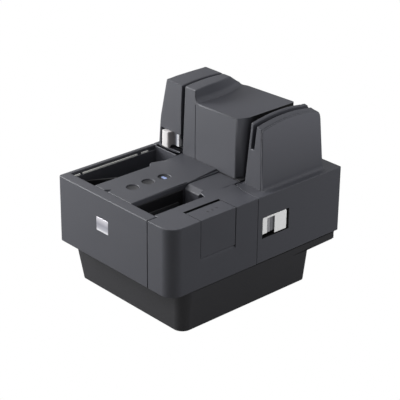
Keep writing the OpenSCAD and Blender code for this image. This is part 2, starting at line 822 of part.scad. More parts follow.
module feed_tray() {
    x1 = track_xr - seam;
    y0 = pocket_y0 + seam;
    y1 = core_y0 - seam;
    color(black_grey) difference() {
        union() {
            box(console_x1, x1, y0, y1, track_z - floor_t, track_z);
            box(console_x1, console_x1 + 2, y0, guide_front_y - 8, track_z - 1, tray_top);
            box(console_x1 + 1, x1, y0, y0 + 2, track_z - 1, tray_top);
            for (p = [[8, y0 + 20], [34, y0 + 20], [8, y1 - 70], [8, y1 - 12], [30, y1 - 70]])
                rod(console_x1 + p[0], p[1], plate_z + plate_t, track_z - 1, 3);
        }
        rod(retard_x, feed_roll_y, track_z - floor_t - 1, track_z + 1, retard_shaft_r + fit);
    }
}

module eject_tray() {
    x0 = eject_x0 + seam;
    x1 = core_x0 - seam;
    y0 = pocket_y0 + seam;
    y1 = left_seam_y - seam;
    color(black_grey) {
        box(x0, x1, y0, y1, track_z - floor_t, track_z);
        box(x0, x0 + 2, y0, y1, track_z - 1, tray_top);
        box(x1 - 2, x1, y0, y1, track_z - 1, tray_top);
        box(x0 + 1, x1 - 1, y0, y0 + 2, track_z - 1, tray_top);
        box(x0, track_xl - 1, y1 - 2, y1, track_z - 1, deck_z - 0.6);
        for (x = [x0 + 14, x1 - 10], y = [y0 + 34, y1 - 16])
            rod(x, y, plate_z + plate_t, track_z - 1, 3);
        // spindle of the eject arm, with the collar that carries it
        rod(arm_x, arm_y, track_z - 1, tray_top - 4, 2);
        rod(arm_x, arm_y, track_z - 1, tray_top - 40 - seam, 3.4);
    }
}

module tray_strip() {
    x0 = eject_x0 + seam;
    y = pocket_y0 + 1;
    color("#e6e6e2") for (s = [[0, 12.6], [16.6, 109.2], [116, 127.6]])
        box(x0, x0 + 1.6, y + s[0], y + s[1], tray_top, tray_top + 2.4);
}

arm_x = eject_x0 + 7;
arm_y = pocket_y0 + 12;
arm_l = 44;
arm_angle = 28;

module eject_arm() {
    color(black_grey) translate([arm_x, arm_y, 0]) difference() {
        union() {
            rod(0, 0, tray_top - 40, tray_top - 5, 4);
            rotate([0, 0, -arm_angle]) {
                box(-1.2, 1.2, 0, arm_l, tray_top - 38, tray_top - 6);
                rod(0, arm_l, tray_top - 38, tray_top - 6, 2.6);
            }
        }
        rod(0, 0, tray_top - 41, tray_top - 4, 2 + fit);
    }
}

pusher_x = console_x1 + 2 + seam;

module feed_pusher() {
    y0 = pocket_y0 + 16;
    y1 = guide_front_y - 17;
    color(dark_grey) difference() {
        union() {
            box(pusher_x, pusher_x + 2.4, y0, y1, track_z + seam, tray_top - 14);
            box(pusher_x, pusher_x + 6, y0 + 6, y0 + 18, track_z + seam, track_z + 6);
            box(pusher_x, pusher_x + 6, y1 - 18, y1 - 6, track_z + seam, track_z + 6);
        }
        for (i = [0:3])
            box(pusher_x + 1.6, pusher_x + 3, y0 + 8 + i * 8, y0 + 10 + i * 8,
                track_z + 14, tray_top - 18);
    }
}

// Block between the feed pocket and the track, with the retard roller and read head

guide_z = deck_z - 1;
guide_front_y = feed_roll_y - 26;
head_y = core_y0 - 10;
retard_shaft_r = 2;
retard_top = guide_z - wall - 2;

module guide_plan(inset, z0, z1) {
    translate([0, 0, z0]) linear_extrude(z1 - z0) polygon([
        [console_x1 + seam + inset, core_y0 - seam - inset],
        [core_x1 - inset, core_y0 - seam - inset],
        [core_x1 - inset, guide_front_y + 26],
        [core_x1 - 1.2 - inset, guide_front_y + 22],
        [core_x1 - 10 - inset, guide_front_y],
        [core_x1 - 12 - inset, guide_front_y - 4.5 + inset],
        [console_x1 + seam + inset, guide_front_y - 4.5 + inset]]);
}

module feed_guide() {
    color(charcoal) difference() {
        guide_plan(0, track_z, guide_z);
        guide_plan(wall, track_z - 1, guide_z - wall - 5);
        along_x(console_x1 - 1, xr, [[guide_front_y - 5.5, guide_z + 1],
            [guide_front_y + 4.5, guide_z + 1], [guide_front_y + 3, guide_z],
            [guide_front_y - 4.5, guide_z - 5], [guide_front_y - 5.5, guide_z - 5.7]]);
        rod(retard_x, feed_roll_y, tyre_z[0] - 2, tyre_z[1] + tyre_h + 2, retard_r + 1);
        rod(retard_x, feed_roll_y, track_z - 1, retard_top + 0.2, retard_shaft_r + fit);
        box(core_x1 - 7, core_x1 + 1, head_y - 6 - seam, head_y + 6 + seam,
            track_z - 1, track_z + 22);
    }
}

module micr_head() {
    color(steel) difference() {
        box(core_x1 - 7, core_x1 + 0.8, head_y - 6, head_y + 6, track_z, track_z + 21.7);
        for (s = [-1, 1]) translate([core_x1, head_y + s * 6, track_z + 1])
            rotate([0, 0, 45]) cube([1.6, 1.6, 60], center = true);
    }
}

// Scan units, boards, motors and sockets

module scan_unit(x0, x1) {
    box(x0, x1, scan_y - scan_d / 2, scan_y + scan_d / 2, scan_z0, scan_z0 + scan_h);
}

module front_scan_unit() {
    color(black_grey) difference() {
        union() {
            scan_unit(core_x1 - scan_t, core_x1 - glass_t);
            box(core_x1 - scan_t, core_x1 - wall - seam, scan_y - scan_d / 2,
                scan_y + scan_d / 2, track_z, scan_z0 + 1);
        }
        box(core_x1 - 9, core_x1 - glass_t + 1, scan_y - 5, scan_y + 5, scan_z0 + 3,
            scan_z0 + scan_h - 3);
    }
}

module front_scan_glass() {
    color("#7d8c92") scan_unit(core_x1 - glass_t, core_x1);
}

module rear_scan_unit() {
    color(black_grey) difference() {
        union() {
            scan_unit(track_xl - scan_t, track_xl - glass_t);
            box(track_xl - scan_t, track_xl - wall - seam, scan_y - scan_d / 2,
                scan_y + scan_d / 2, scan_z0 + scan_h - 1, deck_z - wall);
        }
        box(track_xl - glass_t - 1, track_xl - 9, scan_y - 5, scan_y + 5, scan_z0 + 3,
            scan_z0 + scan_h - 3);
    }
}

module rear_scan_glass() {
    color("#7d8c92") scan_unit(track_xl - glass_t, track_xl);
}

module main_board() {
    x0 = board_x0;
    y0 = board_y0;
    z = board_z + board_t;
    color("#2f6b45") difference() {
        union() {
            box(x0, board_x1, y0, board_y1, board_z, z);
            box(x0 + 24, x0 + 44, y0 + 30, y0 + 50, z, z + 2.6);
            box(x0 + 52, x0 + 66, y0 + 34, y0 + 44, z, z + 1.4);
            rod(x0 + 16, y0 + 70, z, z + 12, 5);
            rod(x0 + 30, y0 + 70, z, z + 12, 5);
            box(board_x1 - 14, board_x1 - 6, y0 + 14, y0 + 38, z, z + 7);
        }
        for (p = board_posts) rod(p[0], p[1], board_z - 1, z + 1, 1.6);
    }
}

module power_inlet() {
    color(black_grey) difference() {
        box(inlet_x - 5.8, inlet_x + 5.8, socket_y1 - 14, socket_y1, socket_z0, socket_z0 + 12);
        translate([inlet_x, socket_y1 + 1, socket_z0 + 6]) rotate([90, 0, 0])
            cylinder(h = 11, r = 3.2);
    }
    color(steel) translate([inlet_x, socket_y1 - 1, socket_z0 + 6]) rotate([90, 0, 0])
        cylinder(h = 9 + eps, r = 1);
}

module usb_socket() {
    color(steel) difference() {
        box(usb_x - 6.2, usb_x + 6.2, socket_y1 - 16, socket_y1, socket_z0, socket_z0 + 11.4);
        box(usb_x - 4.4, usb_x + 4.4, socket_y1 - 12, socket_y1 + 1, socket_z0 + 1.6,
            socket_z0 + 9.8);
    }
    color(silver) box(usb_x - 3, usb_x + 3, socket_y1 - 12 - eps, socket_y1 - 2,
        socket_z0 + 4.4, socket_z0 + 7.2);
}

module transport_motor() {
    p = motor_pos;
    color(steel) difference() {
        union() {
            rod(p[0], p[1], plate_z - 38, plate_z, motor_r);
            rod(p[0], p[1], plate_z - 1, plate_z + plate_t + 0.6, 5.6);
        }
        rod(p[0], p[1], plate_z - 12, plate_z + plate_t + 1, motor_shaft_r + fit);
    }
}

// The feed motor turns the feed shaft directly and hangs under the frame plate
module feed_motor() {
    p = feed_pos[0];
    color(steel) difference() {
        rod(p[0], p[1], plate_z - feed_motor_h, plate_z, feed_motor_r);
        rod(p[0], p[1], plate_z - 3, plate_z + 1, bush_r + 0.2);
        rod(p[0], p[1], feed_shaft_z - 0.5, plate_z, shaft_r + fit);
    }
}

module motor_pulley() {
    p = motor_pos;
    color(silver) {
        rod(p[0], p[1], plate_z + plate_t + 0.9, belt_z0 + belt_h, motor_pulley_r);
        rod(p[0], p[1], plate_z - 10, belt_z0, motor_shaft_r);
    }
}

module belt_outline(r_extra) {
    hull() {
        for (p = drive_pos) translate(p) circle(r = pulley_r + r_extra, $fn = 32);
        translate(motor_pos) circle(r = motor_pulley_r + r_extra, $fn = 32);
    }
}

module transport_belt() {
    color(rubber) translate([0, 0, belt_z0]) linear_extrude(belt_h) difference() {
        belt_outline(0.15 + belt_t);
        belt_outline(0.15);
    }
}

module feed_outline(r_extra) {
    hull() for (p = feed_pos) translate(p) circle(r = pulley_r + r_extra, $fn = 32);
}

module feed_belt() {
    color(rubber) translate([0, 0, belt_z0]) linear_extrude(belt_h) difference() {
        feed_outline(0.15 + belt_t);
        feed_outline(0.15);
    }
}

// Shafts and rollers

module drive_shaft(p, z0, z1) {
    color(steel) rod(p[0], p[1], z0, z1, shaft_r);
}

module drive_tyres(p) {
    color(rubber) {
        for (z = tyre_z) difference() {
            rod(p[0], p[1], z, z + tyre_h, roller_r);
            rod(p[0], p[1], z - 1, z + tyre_h + 1, shaft_r);
        }
        difference() {
            rod(p[0], p[1], belt_z0 - 0.4, belt_z0 + belt_h, pulley_r);
            rod(p[0], p[1], belt_z0 - 1, belt_z0 + belt_h + 1, shaft_r);
        }
    }
}

module transport_shaft_1() { drive_shaft(drive_pos[0], plate_z - 4, shaft_top); }
module transport_shaft_2() { drive_shaft(drive_pos[1], plate_z - 4, shaft_top); }
module transport_shaft_3() { drive_shaft(drive_pos[2], plate_z - 4, shaft_top); }
module transport_roller_1() { drive_tyres(drive_pos[0]); }
module transport_roller_2() { drive_tyres(drive_pos[1]); }
module transport_roller_3() { drive_tyres(drive_pos[2]); }

module feed_shaft() { drive_shaft(feed_pos[0], feed_shaft_z, feed_shaft_top); }
module feed_roller() { drive_tyres(feed_pos[0]); }

module pick_roller() {
    p = feed_pos[1];
    color(rubber) {
        rod(p[0], p[1], plate_z - 4, feed_shaft_top, shaft_r);
        rod(p[0], p[1], belt_z0 - 0.4, belt_z0 + belt_h, pulley_r);
        for (z = tyre_z) rod(p[0], p[1], z, z + tyre_h, roller_r);
    }
}

module retard_roller() {
    color(rubber) {
        for (z = tyre_z) rod(retard_x, feed_roll_y, z, z + tyre_h, retard_r);
        rod(retard_x, feed_roll_y, track_z - floor_t + 0.3, retard_top, retard_shaft_r);
    }
}

// A pinch roller on its stub axle, held between the ears of a cover
module pinch(x, y) {
    color(dark_grey) {
        for (z = tyre_z) rod(x, y, z, z + tyre_h, pinch_r);
        rod(x, y, tyre_z[0] - 4, tyre_z[1] + tyre_h + 4, 1.5);
    }
}

module pinch_roller_1() { pinch(pinch_x_r, drive_y[0]); }
module pinch_roller_2() { pinch(pinch_x_r, drive_y[1]); }
module pinch_roller_3() { pinch(pinch_x_l, drive_y[2]); }

module pinch_ears(x, y, wall_x) {
    for (z = [tyre_z[0] - 5.5, tyre_z[1] + tyre_h + 2.5]) difference() {
        box(min(x - 3, wall_x), max(x + 3, wall_x), y - 3, y + 3, z, z + 3);
        rod(x, y, z - 1, z + 4, 1.5 + fit);
    }
}

module pinch_window(x, y, wall_x) {
    box(wall_x - wall - 1, wall_x + wall + 1, y - pinch_r - 0.6, y + pinch_r + 0.6,
        tyre_z[0] - 2, tyre_z[1] + tyre_h + 2);
    rod(x, y, tyre_z[0] - 5, tyre_z[1] + tyre_h + 5, 1.5 + fit);
}

// Right transport cover: outer skin with the side panel, and the inner moulding
// with the track wall and the card slot

function in_x(z) = tower_in_x + slope_in * (z - deck_z);
function out_x(z) = right_out_x - slope_out * (z - deck_z);

module right_tower_form(inset) {
    top = right_top_z + 6;
    z0 = deck_z - 10;
    intersection() {
        along_y(tower_y0 + inset, yr, [
            [in_x(deck_z) + inset, z0], [in_x(deck_z) + inset, deck_z], [in_x(top) + inset, top],
            [out_x(top) - inset, top], [out_x(deck_z) - inset, deck_z],
            [out_x(deck_z) - inset, z0]]);
        along_x(0, xr, [
            [tower_y0 - 1, z0], [tower_y1 - inset, z0], [tower_y1 - inset, deck_z],
            [tower_y1 - rear_lean * 72 - inset, deck_z + 72],
            [tower_y1 - 7.4 - inset, deck_z + 76.6], [tower_y1 - 9.4 - inset, deck_z + 80.2],
            [tower_y1 - 12.8 - inset, deck_z + 83.2], [tower_y1 - 21 - inset, top],
            [tower_y0 - 1, top]]);
        crown(in_x(right_top_z), tower_y0 + 50, right_top_z - inset, crown_r, 14);
    }
}

// Everything left of the joint between the inner moulding and the outer skin
module right_inner_side(gap) {
    along_y(tower_y0 - 5, yr, [
        [0, deck_z - 20], [out_x(deck_z) - wall - gap, deck_z - 20],
        [out_x(deck_z) - wall - gap, deck_z], [out_x(280) - wall - gap, 280], [0, 280]]);
}

module card_slot() {
    along_y(tower_y0 - 1, yr, [
        [in_x(card_z) + rib_t, card_z], [in_x(280) + rib_t, 280],
        [in_x(280) + rib_t + card_w, 280], [in_x(card_z) + rib_t + card_w, card_z]]);
}

module right_guide() {
    front_y = hinge_y - sqrt(pow(right_swing_r, 2) - pow(hinge_x - track_xr, 2)) + 0.6;
    color(charcoal) difference() {
        union() {
            intersection() {
                right_tower_form(0);
                right_inner_side(0.1);
                box(0, xr, 0, yr, deck_z - 0.1, 290);
            }
            box(track_xr, track_xr + wall, front_y, tower_y1, cover_z0, deck_z);
            box(track_xr, in_x(deck_z) + wall, tower_y0, tower_y1, deck_z - wall, deck_z);
            box(track_xr, out_x(deck_z) - 8, tower_y1 - wall, tower_y1, cover_z0 + 20, deck_z);
        }
        // hollow of the tower outside the card slot
        intersection() {
            right_tower_form(wall);
            along_y(tower_y0, yr, [
                [in_x(deck_z) + wall, deck_z - 5], [in_x(deck_z) + wall, deck_z],
                [in_x(card_z - wall) + wall, card_z - wall],
                [in_x(card_z - wall) + rib_t + card_w + wall, card_z - wall],
                [in_x(280) + rib_t + card_w + wall, 280], [xr, 280], [xr, deck_z - 5]]);
        }
        card_slot();
        // joint line down the front of the tower
        along_y(tower_y0 - 1, tower_y0 + 1.2, [
            [out_x(deck_z) - wall - 0.9, deck_z], [out_x(280) - wall - 0.9, 280],
            [out_x(280) - wall + 1, 280], [out_x(deck_z) - wall + 1, deck_z]]);
        for (y = [drive_y[0], drive_y[1]]) pinch_window(pinch_x_r, y, track_xr);
        reader_block(-1);
    }
    color(charcoal) for (y = [drive_y[0], drive_y[1]]) pinch_ears(pinch_x_r, y, track_xr + wall);
}

reader_y = tower_y0 + 44;
reader_z = card_z + 3;
reader_h = 9;

// The read head fills its pocket in the slot wall; proud shifts the slot-side face
module reader_block(proud) {
    x0 = in_x(reader_z) + rib_t + card_w + proud;
    x1 = in_x(reader_z + reader_h) + rib_t + card_w + proud;
    along_y(reader_y - 6, reader_y + 6, [[x0, reader_z], [x1, reader_z + reader_h],
        [x1 + wall + 1 - proud, reader_z + reader_h], [x1 + wall + 1 - proud, reader_z]]);
}

module card_reader_head() {
    color(steel) reader_block(0);
}

latch_y0 = right_seam_y + 8.3;
latch_y1 = latch_y0 + latch_w;
latch_depth = 8;

module right_cover() {
    left_x = track_xr + 0.4;
    color(charcoal) difference() {
        union() {
            // side panel, rear panel and deck slab
            difference() {
                box(left_x, xr, right_seam_y - 1, yr, cover_z0, deck_z);
                box(left_x - 1, xr - wall, right_seam_y - 2, yr - wall, cover_z0 - 1, deck_z - wall);
                corner_waste(xr, yr, 1, 1, 1.5, cover_z0 - 1, deck_z + 1);
            }
            // tower skin over the joint with the inner moulding
            difference() {
                intersection() {
                    right_tower_form(0);
                    box(0, xr, 0, yr, deck_z - wall, 290);
                }
                right_inner_side(0);
            }
            // soft fillet between the tower side and the deck ledge
            difference() {
                box(out_x(deck_z) - wall, out_x(deck_z) + 5, tower_y0, tower_y1, deck_z - wall,
                    deck_z + 5);
                translate([out_x(deck_z) + 5, tower_y0 - 1, deck_z + 5]) rotate([-90, 0, 0])
                    cylinder(h = tower_d + 2, r = 5);
                translate([0, 0, -0.1]) right_inner_side(0);
            }
            // box behind the latch window
            box(xr - wall - latch_depth, xr - 1, latch_y0 - 1.5, latch_y1 + 1.5, latch_z - 1.5,
                latch_z + latch_h + 1.5);
            // hinge knuckles in the rear corner
            for (z = [cover_z0, deck_z - 22]) rod(hinge_x, hinge_y, z, z + 16, 4);
            box(hinge_x, xr - 1, hinge_y - 3, yr - 1, deck_z - 22, deck_z - 6);
            box(hinge_x, xr - 1, hinge_y - 3, yr - 1, cover_z0, cover_z0 + 16);
        }
        // the track and the inner moulding pass through the deck slab
        box(0, out_x(deck_z) - wall, tower_y0 - 0.2, tower_y1 + 0.2, cover_z0 - 1, deck_z + 0.02);
        box(0, track_xr + wall + 0.2, 0, tower_y1 + 0.2, cover_z0 - 1, deck_z + 1);
        // the front edge follows the swing of the cover
        difference() {
            box(0, xr + 1, right_seam_y - 5, right_seam_y + 40, cover_z0 - 1, deck_z + 1);
            rod(hinge_x, hinge_y, cover_z0 - 2, deck_z + 2, right_swing_r, $fn = 180);
        }
        box(xr - latch_depth, xr + 1, latch_y0, latch_y1, latch_z, latch_z + latch_h);
        rod(hinge_x, hinge_y, cover_z0 - 1, deck_z - 4, bore_r);
    }
}

latch_travel = 3;

module right_latch() {
    gap = 0.4;
    y0 = latch_y0 + gap;
    y1 = latch_y1 - gap - latch_travel;
    z0 = latch_z + gap;
    z1 = latch_z + latch_h - gap;
    x1 = xr - 0.6;
    grip_y0 = y0 + latch_w * 0.26;
    grip_y1 = y0 + latch_w * 0.5;
    ribs = 4;
    rib_pitch = (grip_y1 - grip_y0) / ribs;
    color(silver) difference() {
        box(xr - latch_depth + gap, x1, y0, y1, z0, z1);
        for (i = [0:ribs - 1])
            box(x1 - 1.4, x1 + 1, grip_y0 + i * rib_pitch, grip_y0 + (i + 0.55) * rib_pitch,
                z0 - 1, z1 - 2.5);
        box(x1 - 2.5, x1 + 1, y0 - 1, grip_y1, z0 - 1, z0 + 3);
    }
}

// Left transport cover with its tower

left_latch_z = deck_z + 9;
left_latch_h = 17.5;
left_window_x = left_out_x + 4.5;
left_window_d = 11;
left_travel = 2.5;

// Outer face of the left tower: nearly upright below, then leaning in
left_face = [[0, 0], [3.8, 48], [14, 94], [15.1, 97.5], [16.7, 99.6], [19, 101]];

module left_tower_form(inset) {
    top = slope_z0;
    intersection() {
        along_y(tower_y0 + inset, yr, concat(
            [[track_xl - inset, deck_z - 3], [track_xl - inset, deck_z],
             [track_xl - inset + track_lean * (top - deck_z), top], [left_out_x + 21, top]],
            [for (i = [len(left_face) - 1:-1:0])
                [left_out_x + left_face[i][0] + inset, left_top_z - 101 + left_face[i][1] - inset / 4]],
            [[left_out_x + inset, deck_z - 3]]));
        along_x(xl, 0, [
            [tower_y0 - 1, deck_z - 3], [tower_y1 - inset, deck_z - 3], [tower_y1 - inset, deck_z],
            [tower_y1 - rear_lean * 66 - inset, deck_z + 66],
            [slope_y1 - inset, slope_z1 - inset], [slope_y0 - inset, slope_z0],
            [tower_y0 - 1, slope_z0]]);
        crown(0, tower_y0 + 40, left_top_z - inset, left_crown_r, 0);
    }
}

module left_cover() {
    right_x = track_xl - 0.4;
    color(charcoal) {
        difference() {
            union() {
                difference() {
                    box(xl, right_x, left_seam_y - 1, yr, cover_z0, deck_z);
                    box(xl + wall, right_x + 1, left_seam_y - 2, yr - wall, cover_z0 - 1,
                        deck_z - wall);
                    corner_waste(xl, yr, -1, 1, 1.5, cover_z0 - 1, deck_z + 1);
                }
                for (z = [cover_z0, deck_z - 22]) rod(-hinge_x, hinge_y, z, z + 16, 4);
                box(xl + 1, -hinge_x, hinge_y - 3, yr - 1, deck_z - 22, deck_z - 6);
                box(xl + 1, -hinge_x, hinge_y - 3, yr - 1, cover_z0, cover_z0 + 16);
                box(track_xl - wall, track_xl, tower_y0 + 12, tower_y1, cover_z0, deck_z);
                box(track_xl - 34, track_xl, tower_y1 - wall, tower_y1, cover_z0 + 20, deck_z);
            }
            difference() {
                box(xl - 1, 0, left_seam_y - 5, left_seam_y + 40, cover_z0 - 1, deck_z + 0.3);
                rod(-hinge_x, hinge_y, cover_z0 - 2, deck_z + 2, left_swing_r, $fn = 180);
            }
            box(eject_x0, 0, left_seam_y - 5, tower_y0 + 1, deck_z - wall - 1, deck_z + 0.4);
            rod(-hinge_x, hinge_y, cover_z0 - 1, deck_z - 4, bore_r);
            pinch_window(pinch_x_l, drive_y[2], track_xl);
            box(track_xl - wall - 1, track_xl + 1, scan_y - scan_d / 2 - seam,
                scan_y + scan_d / 2 + seam, scan_z0, scan_z0 + scan_h);
        }
        difference() {
            intersection() {
                left_tower_form(0);
                union() {
                    box(xl, 0, 0, yr, deck_z + 0.4, left_top_z + 1);
                    intersection() {
                        box(xl, 0, tower_y0 + 1, yr, deck_z - wall, deck_z + 1);
                        rod(-hinge_x, hinge_y, deck_z - wall, deck_z + 1, left_swing_r,
                            $fn = 180);
                    }
                }
            }
            difference() {
                left_tower_form(wall);
                box(left_window_x - wall, 0, 0, tower_y0 + left_window_d + wall, deck_z,
                    left_latch_z + left_latch_h + wall + 0.4);
            }
            box(left_window_x, track_xl + 1, 0, tower_y0 + left_window_d, deck_z + 2.5,
                left_latch_z + left_latch_h + 0.4);
        }
        pinch_ears(pinch_x_l, drive_y[2], track_xl - wall);
    }
}

module left_latch() {
    x0 = left_window_x + 0.4 + left_travel;
    x1 = track_xl - 0.6;
    y0 = tower_y0 + 0.8;
    pad_x0 = x0 + 4.6;
    pad_x1 = x0 + 16.4;
    groove_r = 7;
    color(silver) difference() {
        union() {
            box(x0, x1, y0, tower_y0 + left_window_d - 0.4, left_latch_z - 0.4,
                left_latch_z + left_latch_h);
            // thumb pad that stands out of the window
            box(pad_x0, pad_x1, y0 - 6, y0 + 4, left_latch_z - 5, left_latch_z + left_latch_h);
        }
        rod((pad_x1 + x1 - 7) / 2, y0 - 1.5, left_latch_z - 6, left_latch_z + left_latch_h + 1,
            groove_r);
    }
}

module cover_hinge_pins() {
    color(steel) for (s = [-1, 1])
        rod(s * hinge_x, hinge_y, lip_z + 2.1, deck_z - 5, pin_r);
}

badge_w = 23.5;
badge_h = 19;
badge_t = 0.5;
badge_x = console_x1 - 50;
badge_z = deck_z - 49;

module badge_plate() {
    color(silver) box(badge_x, badge_x + badge_w, yf, yf + badge_t, badge_z,
        badge_z + badge_h);
}

module case_screws() {
    color(steel) for (p = post_pos) {
        rod(p[0], p[1], plate_z + plate_t, plate_z + plate_t + 2, 3);
        rod(p[0], p[1], plate_z - 10, plate_z + plate_t + eps, screw_r - 0.1);
    }
}

base_tub();
rubber_feet();
frame_plate();
main_case();
rear_cover();
console_cover();
feed_cover();
feed_tray();
eject_tray();
tray_strip();
feed_guide();
center_cover();
inner_track();
badge_plate();
main_board();
button_board();
transport_motor();
feed_motor();
transport_belt();
feed_belt();
shaft_bushes();
power_inlet();
usb_socket();
front_scan_unit();
front_scan_glass();
micr_head();
cartridge_tray();
ink_cartridge();
cover_hinge_pins();
ink_cover_pin();
case_screws();
right_cover();
right_guide();
card_reader_head();
right_latch();
left_cover();
rear_scan_unit();
rear_scan_glass();
left_latch();
ink_cover();
enter_button();
clear_button();
power_button();
power_light();
eject_arm();
feed_pusher();
transport_shaft_1();
transport_shaft_2();
transport_shaft_3();
transport_roller_1();
transport_roller_2();
transport_roller_3();
feed_shaft();
feed_roller();
pick_roller();
retard_roller();
motor_pulley();
pinch_roller_1();
pinch_roller_2();
pinch_roller_3();
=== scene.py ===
import bpy
import bmesh
import json
import math
import numpy as np
from mathutils import Matrix
from mathutils.kdtree import KDTree


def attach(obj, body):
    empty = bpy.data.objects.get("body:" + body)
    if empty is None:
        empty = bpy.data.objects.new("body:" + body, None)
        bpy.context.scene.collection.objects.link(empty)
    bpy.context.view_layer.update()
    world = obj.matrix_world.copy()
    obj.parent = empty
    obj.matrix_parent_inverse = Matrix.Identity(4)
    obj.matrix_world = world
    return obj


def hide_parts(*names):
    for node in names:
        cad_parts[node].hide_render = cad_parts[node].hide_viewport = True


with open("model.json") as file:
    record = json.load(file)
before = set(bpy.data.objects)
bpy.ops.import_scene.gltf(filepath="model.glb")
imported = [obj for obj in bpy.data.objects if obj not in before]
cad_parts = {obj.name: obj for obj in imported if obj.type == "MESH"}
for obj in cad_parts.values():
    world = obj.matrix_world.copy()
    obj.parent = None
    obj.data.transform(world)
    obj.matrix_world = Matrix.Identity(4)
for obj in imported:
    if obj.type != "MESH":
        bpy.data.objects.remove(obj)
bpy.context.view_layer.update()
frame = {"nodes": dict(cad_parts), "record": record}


# Camera: stands where the photographer stood, found from the straight edges of the case.
# The picture is 400 pixels square, and the focal length is given in its pixels.
def turned(x_axis, y_axis, z_axis, place):
    """The matrix that turns the axes to three directions and carries the origin to place."""
    matrix = Matrix.Identity(4)
    for row in range(3):
        matrix[row][0], matrix[row][1], matrix[row][2] = x_axis[row], y_axis[row], z_axis[row]
    matrix.translation = place
    return matrix


picture, focal, sensor = 400, 1464.2, 36.0
cam_data = bpy.data.cameras.new("camera")
cam_data.sensor_width = sensor
cam_data.lens = focal / picture * sensor
cam_data.clip_end = 20.0
camera = bpy.data.objects.new("camera", cam_data)
bpy.context.scene.collection.objects.link(camera)
az, el, roll = math.radians(47.56), math.radians(25.33), math.radians(0.60)
back = np.array([math.sin(az) * math.cos(el), -math.cos(az) * math.cos(el), math.sin(el)])
right = np.array([math.cos(az), math.sin(az), 0.0])
up = np.cross(back, right)
camera.matrix_world = turned(math.cos(roll) * right + math.sin(roll) * up,
                             math.cos(roll) * up - math.sin(roll) * right, back,
                             (1.2776, -1.1696, 0.9338))
bpy.context.scene.camera = camera


# Base tub: the darker, tapered bottom of the case, which carries the frame and the drive.
# It is injection moulded in dark ABS, with posts inside for the frame plate and the board
# and a lip under the rear overhang.
MM = 0.001
nodes = frame["nodes"]
body_of = {node: body for body, names in frame["record"]["behaviour"]["bodies"].items()
           for node in names}


def rgb(code):
    """Linear colour of an sRGB hex code."""
    parts = [int(code[i:i + 2], 16) / 255 for i in (1, 3, 5)]
    return tuple(c / 12.92 if c <= 0.04045 else ((c + 0.055) / 1.055) ** 2.4 for c in parts) + (1,)


def add(owner, kind, links=None, stops=(), **values):
    """Adds a shader node, sets its properties, input values and colour stops, and links it."""
    item = owner.node_tree.nodes.new(kind)
    for key, value in values.items():
        if hasattr(item, key):
            setattr(item, key, value)
        else:
            item.inputs[key.replace("_", " ")].default_value = value
    for at, code in stops:
        row = item.color_ramp.elements
        stop = row[0] if at == 0 else row[-1] if at == 1 else row.new(at)
        stop.color = rgb(code)
    for key, source in (links or {}).items():
        owner.node_tree.links.new(source, item.inputs[key])
    return item


def connect(owner, source, target):
    """Links an output to an input of another node."""
    owner.node_tree.links.new(source, target)


def start(name, colour, rough, **values):
    """A new material with its Principled shader set to plain values."""
    mat = bpy.data.materials.new(name)
    mat.use_nodes = True
    shader = mat.node_tree.nodes["Principled BSDF"]
    shader.inputs["Base Color"].default_value = rgb(colour)
    shader.inputs["Roughness"].default_value = rough
    for key, value in values.items():
        shader.inputs[key.replace("_", " ")].default_value = value
    return mat, shader


def moulded(name, colour, dark, rough, grain=1500.0, depth=0.00005, **values):
    """Spark-eroded injection moulding: pits about 0.7 mm wide at the default grain, coarser
    than the real ones so that they show, and faint mottling some 40 mm wide in the colour."""
    mat, shader = start(name, colour, rough, **values)
    where = add(mat, "ShaderNodeTexCoord").outputs["Object"]
    cloud = add(mat, "ShaderNodeTexNoise", {"Vector": where}, Scale=26.0, Detail=3.0)
    pits = add(mat, "ShaderNodeTexNoise", {"Vector": where},
               Scale=grain, Detail=2.0, Roughness=0.6)
    blend = add(mat, "ShaderNodeMixRGB", {"Fac": cloud.outputs["Fac"]},
                Color1=rgb(dark), Color2=rgb(colour))
    gloss = add(mat, "ShaderNodeMapRange", {"Value": pits.outputs["Fac"]},
                From_Min=0.3, From_Max=0.7, To_Min=rough - 0.06, To_Max=rough + 0.06)
    bump = add(mat, "ShaderNodeBump", {"Height": pits.outputs["Fac"]},
               Strength=0.35, Distance=depth)
    connect(mat, blend.outputs["Color"], shader.inputs["Base Color"])
    connect(mat, gloss.outputs["Result"], shader.inputs["Roughness"])
    connect(mat, bump.outputs["Normal"], shader.inputs["Normal"])
    return mat


def place(item, node):
    """Puts a finished piece in the scene in place of its CAD node, riding on the same body."""
    bpy.context.scene.collection.objects.link(item)
    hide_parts(node)
    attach(item, body_of[node])


def tree_of(points):
    """A search tree over a list of points."""
    tree = KDTree(len(points))
    for k, point in enumerate(points):
        tree.insert(point, k)
    tree.balance()
    return tree


